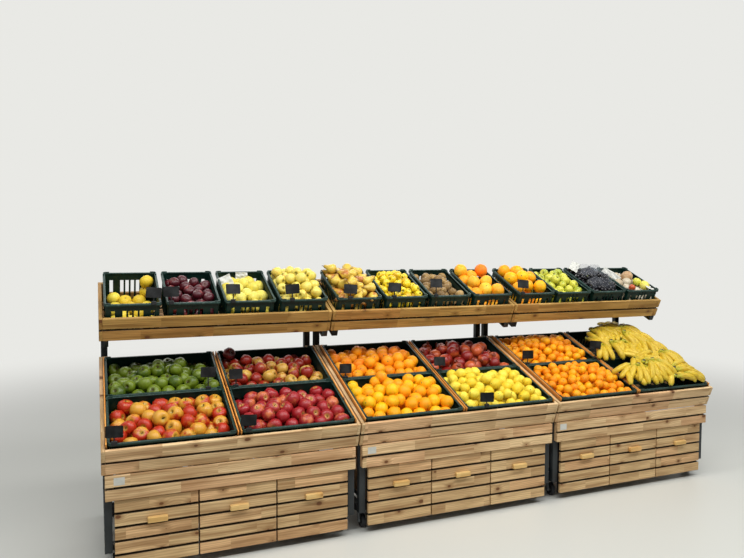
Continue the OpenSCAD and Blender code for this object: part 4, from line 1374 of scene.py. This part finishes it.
# The turn that lays a finger from its crown towards a heading, with its tip just on the heap or the crate's rim
def fingerTurn(start, heading, size, heap, scale, roll):
    chord = banana["chord"] * scale
    inside, steepest = handRules["inside"], handRules["steepest"]
    lowest = size["height"] + handRules["clear"]
    pitch = 0.0
    for _ in range(6):
        reach = chord * math.cos(pitch)
        x, y = start.x + reach * math.cos(heading), start.y + reach * math.sin(heading)
        tip = topAt(size, heap, x, y) + handRules["lift"] + handRules["tipUp"]
        tip = min(tip, lowest + handRules["climb"] * max(0.0, y))
        if not (inside < x < size["width"] - inside and inside < y < size["depth"] + handRules["behind"]):
            tip = max(tip, lowest)
        pitch = math.asin(max(-steepest, min(steepest, (tip - start.z) / chord)))
    return Matrix.Rotation(heading, 3, "Z") @ Matrix.Rotation(-pitch, 3, "Y") @ Matrix.Rotation(roll, 3, "X")


# A hand's place, moved back as far as its tips would pass the crate's front edge or the stand's right side
def handPlace(x, y, heading, spread, size, frontEdge):
    ends = [math.radians(heading + spread * share) for share in (-0.5, -0.25, 0, 0.25, 0.5)]
    right = x + max(math.cos(end) for end in ends) * banana["chord"]
    front = y + min(math.sin(end) for end in ends) * banana["chord"]
    return x - max(0, right - size["width"] - handRules["over"]), y + max(0, frontEdge - front)


def makeBananas(name, row, heap, size, seed):
    rng = np.random.default_rng(seed)
    frontEdge, hands = handRows[row]
    spots, turns, sizes, crowns = [], [], [], []
    places = [(*hand, handRules["lift"]) for hand in hands]
    places += [(*(rng.uniform(*span) for span in handRules["fillerPlaces"]), rng.uniform(-180, 180),
                *handRules["fillerHand"], handRules["fillerLift"]) for _ in range(handRules["fillers"])]
    stray, wobble, (narrow, narrowRoll) = handRules["stray"], handRules["wobble"], handRules["narrow"]
    for u, v, heading, spread, count, lift in places:
        x, y = handPlace(u / 1000, v / 1000, heading, spread, size, frontEdge)
        middle = Vector((x, y, topAt(size, heap, x, y) + lift))
        crowns.append(middle + Vector((0, 0, lump["up"])))
        beside = math.radians(heading + 90)
        for k in range(count):
            share = k / (count - 1) - 0.5
            angle = math.radians(heading + spread * share + rng.uniform(-stray, stray))
            start = middle + Vector((math.cos(beside), math.sin(beside), 0)) * share * count * handRules["neck"]
            start.z -= handRules["under"] * (k % 2)
            scale = rng.uniform(*handRules["scales"])
            fanned = 1 if spread > narrow else narrowRoll
            roll = handRules["roll"] * share * fanned + rng.uniform(-wobble, wobble)
            spots.append(start)
            turns.append(tuple(fingerTurn(start, angle, size, heap, scale, roll).to_euler()))
            sizes.append((scale, scale * rng.uniform(*handRules["widths"]), scale))
    finger, crown, skin = makeFinger(), makeLump(), skins["banana"]
    fingers = scatter(name, finger, skin, spots, turns, sizes, rng.uniform(0, 1, len(spots)))
    crownTurns = rng.uniform(-lump["turn"], lump["turn"], (len(crowns), 3))
    crownSizes = [(lump["size"] * lump["longer"], lump["size"], lump["size"])] * len(crowns)
    lumps = scatter(name, crown, skin, crowns, crownTurns, crownSizes, rng.uniform(0, 1, len(crowns)))
    return joinPieces(name, [fingers, lumps])


# The mean of some sine waves at a point, or of what fold makes of each
def ripple(point, waves, phases, fold=float):
    return sum(fold(math.sin(sum(w * c for w, c in zip(wave, point)) + phase))
               for wave, phase in zip(waves, phases)) / len(phases)


# Crumpled clear bags over the grapes, as (across, up, turn in degrees, length, width) in millimetres; half makes
# a length into a half in metres, a little longer as the creases draw it in; even is the creases' middle height
bags = [(80, 108, 20, 92, 66), (176, 96, -14, 96, 70), (224, 170, 70, 88, 60), (92, 210, -30, 98, 72),
        (180, 236, 24, 100, 74), (116, 304, 8, 96, 62), (212, 314, -22, 84, 60)]
bagLook = {"segments": (28, 16), "waves": 10, "swing": 9, "even": 0.6, "fold": 0.34, "rise": 0.7, "square": 0.6,
           "half": 1600, "tall": 0.026, "sunk": 0.012}


def makeBag(length, width, tall, seed):
    rng = np.random.default_rng(seed)
    bm = bmesh.new()
    across, up = bagLook["segments"]
    bmesh.ops.create_uvsphere(bm, u_segments=across, v_segments=up, radius=1)
    waves = rng.uniform(-1, 1, (bagLook["waves"], 3)) * bagLook["swing"]
    phases = rng.uniform(0, 2 * math.pi, bagLook["waves"])
    for vertex in bm.verts:
        x, y, z = vertex.co
        square = (max(abs(x), abs(y), 1e-6) / max(math.hypot(x, y), 1e-6)) ** bagLook["square"]
        crease = ripple((x, y, z), waves, phases, abs) - bagLook["even"]
        fold = 1 + bagLook["fold"] * crease
        vertex.co = (x / square * length * fold, y / square * width * fold,
                     z * tall * (1 + bagLook["rise"] * crease))
    shade(bm)
    return meshObject("bag", bm, film)


def makeBags(name, heap, size):
    made = []
    for number, (u, v, turn, length, width) in enumerate(bags):
        x, y, delta = u / 1000, v / 1000, 0.01
        top, ahead, beside = (topAt(size, heap, a, b) for a, b in ((x, y), (x, y + delta), (x + delta, y)))
        normal = Vector((top - beside, top - ahead, delta)).normalized()
        tilt = Vector((0, 0, 1)).rotation_difference(normal).to_matrix().to_4x4()
        spot = at(x, y, top - bagLook["sunk"], tilt @ Matrix.Rotation(math.radians(turn), 4, "Z"))
        bag = makeBag(length / bagLook["half"], width / bagLook["half"], bagLook["tall"], 30 + number)
        made.append(place(bag, spot))
    return joinPieces(name, made)


# Crumpled papers in a crate: place in millimetres, turns in degrees about x, y and z, length, width in metres
papers = {(1, "top", 2): [((44, 268, 170), (52, -20, 12), 0.085, 0.075),
                          ((150, 338, 172), (62, 0, -6), 0.070, 0.05)],
          (3, "top", 2): [((52, 322, 226), (14, -24, 40), 0.088, 0.066)],
          (3, "top", 3): [((40, 252, 190), (14, -50, 8), 0.050, 0.15),
                          ((232, 44, 186), (10, 12, 30), 0.075, 0.055)]}
paperLook = {"segments": (18, 14), "waves": 7, "pitch": 14, "swing": 0.010, "stretch": 0.06, "thick": 0.0006}


def makePaper(length, width, seed):  # a thin wavy sheet
    rng = np.random.default_rng(seed)
    bm = bmesh.new()
    along, across = paperLook["segments"]
    bmesh.ops.create_grid(bm, x_segments=along, y_segments=across, size=0.5)
    pitch = paperLook["pitch"]
    waves = rng.uniform(-pitch, pitch, (paperLook["waves"], 2))
    phases = rng.uniform(0, 2 * math.pi, paperLook["waves"])
    for vertex in bm.verts:
        x, y, _ = vertex.co
        high = ripple((x, y), waves, phases)
        vertex.co = (x * length * (1 + paperLook["stretch"] * high), y * width, high * paperLook["swing"])
    shade(bm)
    return thicken(meshObject("paper", bm, palePaper), paperLook["thick"])


def makePapers(key):
    made = []
    for index, (spot, turn, length, width) in enumerate(papers.get(key, [])):
        x, y, z = (Matrix.Rotation(math.radians(degrees), 4, axis) for degrees, axis in zip(turn, "XYZ"))
        made.append(place(makePaper(length, width, 60 + index), at(*[c / 1000 for c in spot], z @ y @ x)))
    return made


for bay in bays:
    for seed, tier in ((100 * bay, "low"), (100 * bay + 10, "top")):
        size, inRow, names = tiers[tier][2:]
        for number, (kind, *heap) in enumerate(goods[bay, tier]):
            name, key = f"bay{bay}_{tier}_{names[number]}_{kind}", (bay, tier, number)
            where = cratePlace(*key)
            if kind == "banana":
                piece = makeBananas(name, number // inRow, heap, size, 50 + number)
            else:
                fruits = makeHeap(name, key, kind, heap, size, seed + number)
                piece = joinPieces(name, [fruits, *makeSingles(key), *makePapers(key)])
            finish(place(piece, where), "stand", "fruit", f"bay{bay}_fruit")
            if kind == "bunch":
                finish(place(makeBags(f"bay{bay}_grape_bags", heap, size), where), "stand", "fruit")
print("heaps made")


# Blank slate price cards on the crates' front rims: tier, crate, metres along its front, height above the rim
priceCards = {
    1: [("low", 0, 0.030, 0.056), ("low", 1, 0.030, 0.050), ("low", 2, 0.511, 0.088), ("low", 3, 0.042, 0.068),
        ("top", 0, 0.244, 0.058), ("top", 1, 0.024, 0.061), ("top", 2, 0.042, 0.069), ("top", 3, 0.068, 0.062)],
    2: [("top", 0, 0.078, 0.055), ("top", 1, 0.055, 0.060), ("top", 2, 0.030, 0.080), ("low", 2, 0.024, 0.056),
        ("low", 3, 0.024, 0.060), ("low", 1, 0.126, 0.050)],
    3: [("top", 0, 0.024, 0.064), ("low", 2, 0.024, 0.063), ("low", 2, 0.579, 0.098)],
}
# A card on a flat stem in a clip: lean and sway are its turns, bow is how far its sides curve back
card = {"size": (0.080, 0.055, 0.0016), "corner": 0.006, "cornerSteps": 4, "bow": 0.004, "stem": (0.006, 0.003),
        "clip": (0.026, 0.015, 0.020), "clipDown": 0.008, "onRim": 0.0045, "ahead": 0.004, "lean": 0.12,
        "sway": (0.12, 0.09, 0.30)}


def makeCard():
    width, height, thick = card["size"]
    bm = bmesh.new()
    corner, steps = card["corner"], card["cornerSteps"]
    right, top = width / 2 - corner, height / 2 - corner
    outline = []
    for number, (x, z) in enumerate(((right, top), (-right, top), (-right, -top), (right, -top))):
        for k in range(steps + 1):
            angle = math.pi / 2 * (number + k / steps)
            outline.append((x + corner * math.cos(angle), z + corner * math.sin(angle)))
    bowed = [(x, -thick / 2 + card["bow"] * (2 * x / width) ** 2, z) for x, z in outline]
    front = bm.faces.new([bm.verts.new(point) for point in bowed])
    bmesh.ops.triangulate(bm, faces=[front])
    bmesh.ops.subdivide_edges(bm, edges=bm.edges[:], cuts=1)
    return thicken(meshObject("card", bm), thick)


def makePriceCards(bay):
    rng = np.random.default_rng(400 + bay)
    feet, tops, turns, stems = [], [], [], []
    for tier, number, along, rise in priceCards[bay]:
        foot = cratePlace(bay, tier, number) @ Vector((along, card["onRim"], tiers[tier][2]["height"]))
        feet.append(foot)
        tops.append(foot + Vector((0, -card["ahead"], rise)))
        lean, *sway = (rng.uniform(-most, most) for most in card["sway"])
        turns.append((lean - card["lean"], *sway))
        stems.append((*card["stem"], rise))
    flat, ones, tints = np.zeros((len(feet), 3)), np.ones((len(feet), 3)), rng.uniform(0, 1, len(feet))
    stem = easedBlock("stem", (-0.5, -0.5, 0), (0.5, 0.5, 1), 0.02)
    (wide, deep, tall), down = card["clip"], card["clipDown"]
    clip = easedBlock("clip", (-wide / 2, -deep / 2, -down), (wide / 2, deep / 2, tall - down), 0.002)
    parts = [scatter("cards", makeCard(), slateCard, tops, turns, ones, tints),
             scatter("stems", stem, blackPlastic, feet, flat, stems, tints),
             scatter("clips", clip, blackPlastic, feet, flat, ones, tints)]
    finish(joinPieces(f"bay{bay}_price_cards", parts), "stand", "crate_plastic")


# Blank pale labels near the left end of each apron's upper slat
sticker = {"size": (0.048, 0.0004, 0.036), "along": (0.062, 0.055, 0.044)}


def makeSticker(bay):
    low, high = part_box(f"bay{bay}_apron")
    x, z = low.x + sticker["along"][bay - 1], high.z - apron["slat"] / 2
    wide, thick, tall = sticker["size"]
    label = easedBlock(f"bay{bay}_label", (x - wide / 2, low.y - thick, z - tall / 2),
                       (x + wide / 2, low.y, z + tall / 2), 0.0001, palePaper)
    finish(label, "stand", "crate_plastic")


for bay in bays:
    makePriceCards(bay)
    makeSticker(bay)
print("cards and labels made")


camera = {"place": (-1.909, -3.635, 1.549), "yaw": 0.3949, "pitch": -0.0499, "roll": 0.0056, "lens": 32.06,
          "sensor": 36.0}


def makeCamera():
    data = bpy.data.cameras.new("camera")
    data.lens, data.sensor_width = camera["lens"], camera["sensor"]
    yaw, pitch, roll = camera["yaw"], camera["pitch"], camera["roll"]
    ahead = Vector((math.sin(yaw) * math.cos(pitch), math.cos(yaw) * math.cos(pitch), math.sin(pitch)))
    level = Vector((math.cos(yaw), -math.sin(yaw), 0))
    above = level.cross(ahead)
    right = level * math.cos(roll) + above * math.sin(roll)
    up = above * math.cos(roll) - level * math.sin(roll)
    thing = link(bpy.data.objects.new("camera", data))
    thing.matrix_world = Matrix.Translation(camera["place"]) @ Matrix((right, up, -ahead)).transposed().to_4x4()
    scene.camera = thing


# Long soft lamps over the run as (y, z, power), turned in a little; a pale floor that fades into the backdrop
# between two distances; and a dim world
stage = {"lamps": [(-2.1, 3.2, 124), (-0.7, 3.3, 74), (2.2, 3.0, 42)], "lamp": (6.5, 0.5), "turnIn": 0.25,
         "backdrop": (233, 233, 229), "floor": (205, 206, 199), "floorSize": 40, "floorRoughness": 0.45,
         "fade": (2.0, 7.0), "sky": (236, 238, 240), "ambient": 0.13}


def makeLamp(name, y, z, power):
    data = bpy.data.lights.new(name, "AREA")
    data.shape, data.energy = "RECTANGLE", power
    data.size, data.size_y = stage["lamp"]
    thing = link(bpy.data.objects.new(name, data))
    ahead = Vector((0, -stage["turnIn"] * y, -1.0))
    thing.matrix_world = Matrix.Translation((0, y, z)) @ ahead.to_track_quat("-Z", "Y").to_matrix().to_4x4()


def makeFloor():
    material, graph, shader = newMaterial("pale_floor", {
        "Base Color": colour(*stage["floor"]), "Roughness": stage["floorRoughness"]})
    far = graph.vector("LENGTH", graph.here())
    seen = graph.add("ShaderNodeLightPath").outputs["Is Camera Ray"]
    glow = graph.add("ShaderNodeEmission", {"Color": colour(*stage["backdrop"]), "Strength": 1.0})
    share = graph.times(seen, graph.step(far, *stage["fade"]))
    both = graph.add("ShaderNodeMixShader", {0: share, 1: shader.outputs[0], 2: glow.outputs[0]})
    graph.feed(material.node_tree.nodes["Material Output"].inputs["Surface"], both.outputs[0])
    bm = bmesh.new()
    bmesh.ops.create_grid(bm, x_segments=1, y_segments=1, size=stage["floorSize"])
    floor = meshObject("floor", bm, material)


def makeWorld():
    world = bpy.data.worlds.new("world")
    scene.world = world
    world.use_nodes = True
    graph = Graph(world.node_tree)
    ambient = world.node_tree.nodes["Background"]
    graph.feedAll(ambient.inputs, {"Color": colour(*stage["sky"]), "Strength": stage["ambient"]})
    shown = graph.add("ShaderNodeBackground", {"Color": colour(*stage["backdrop"]), "Strength": 1.0})
    rays = graph.add("ShaderNodeLightPath").outputs
    seen = graph.math("MAXIMUM", graph.math("MAXIMUM", rays["Is Camera Ray"], rays["Is Glossy Ray"]),
                      rays["Is Transmission Ray"])
    both = graph.add("ShaderNodeMixShader", {0: seen, 1: ambient.outputs[0], 2: shown.outputs[0]})
    graph.feed(world.node_tree.nodes["World Output"].inputs["Surface"], both.outputs[0])


makeCamera()
makeFloor()
makeWorld()
for number, (y, z, power) in enumerate(stage["lamps"]):
    makeLamp(f"lamp{number + 1}", y, z, power)
scene.view_settings.view_transform = "Standard"
print("camera and light made")
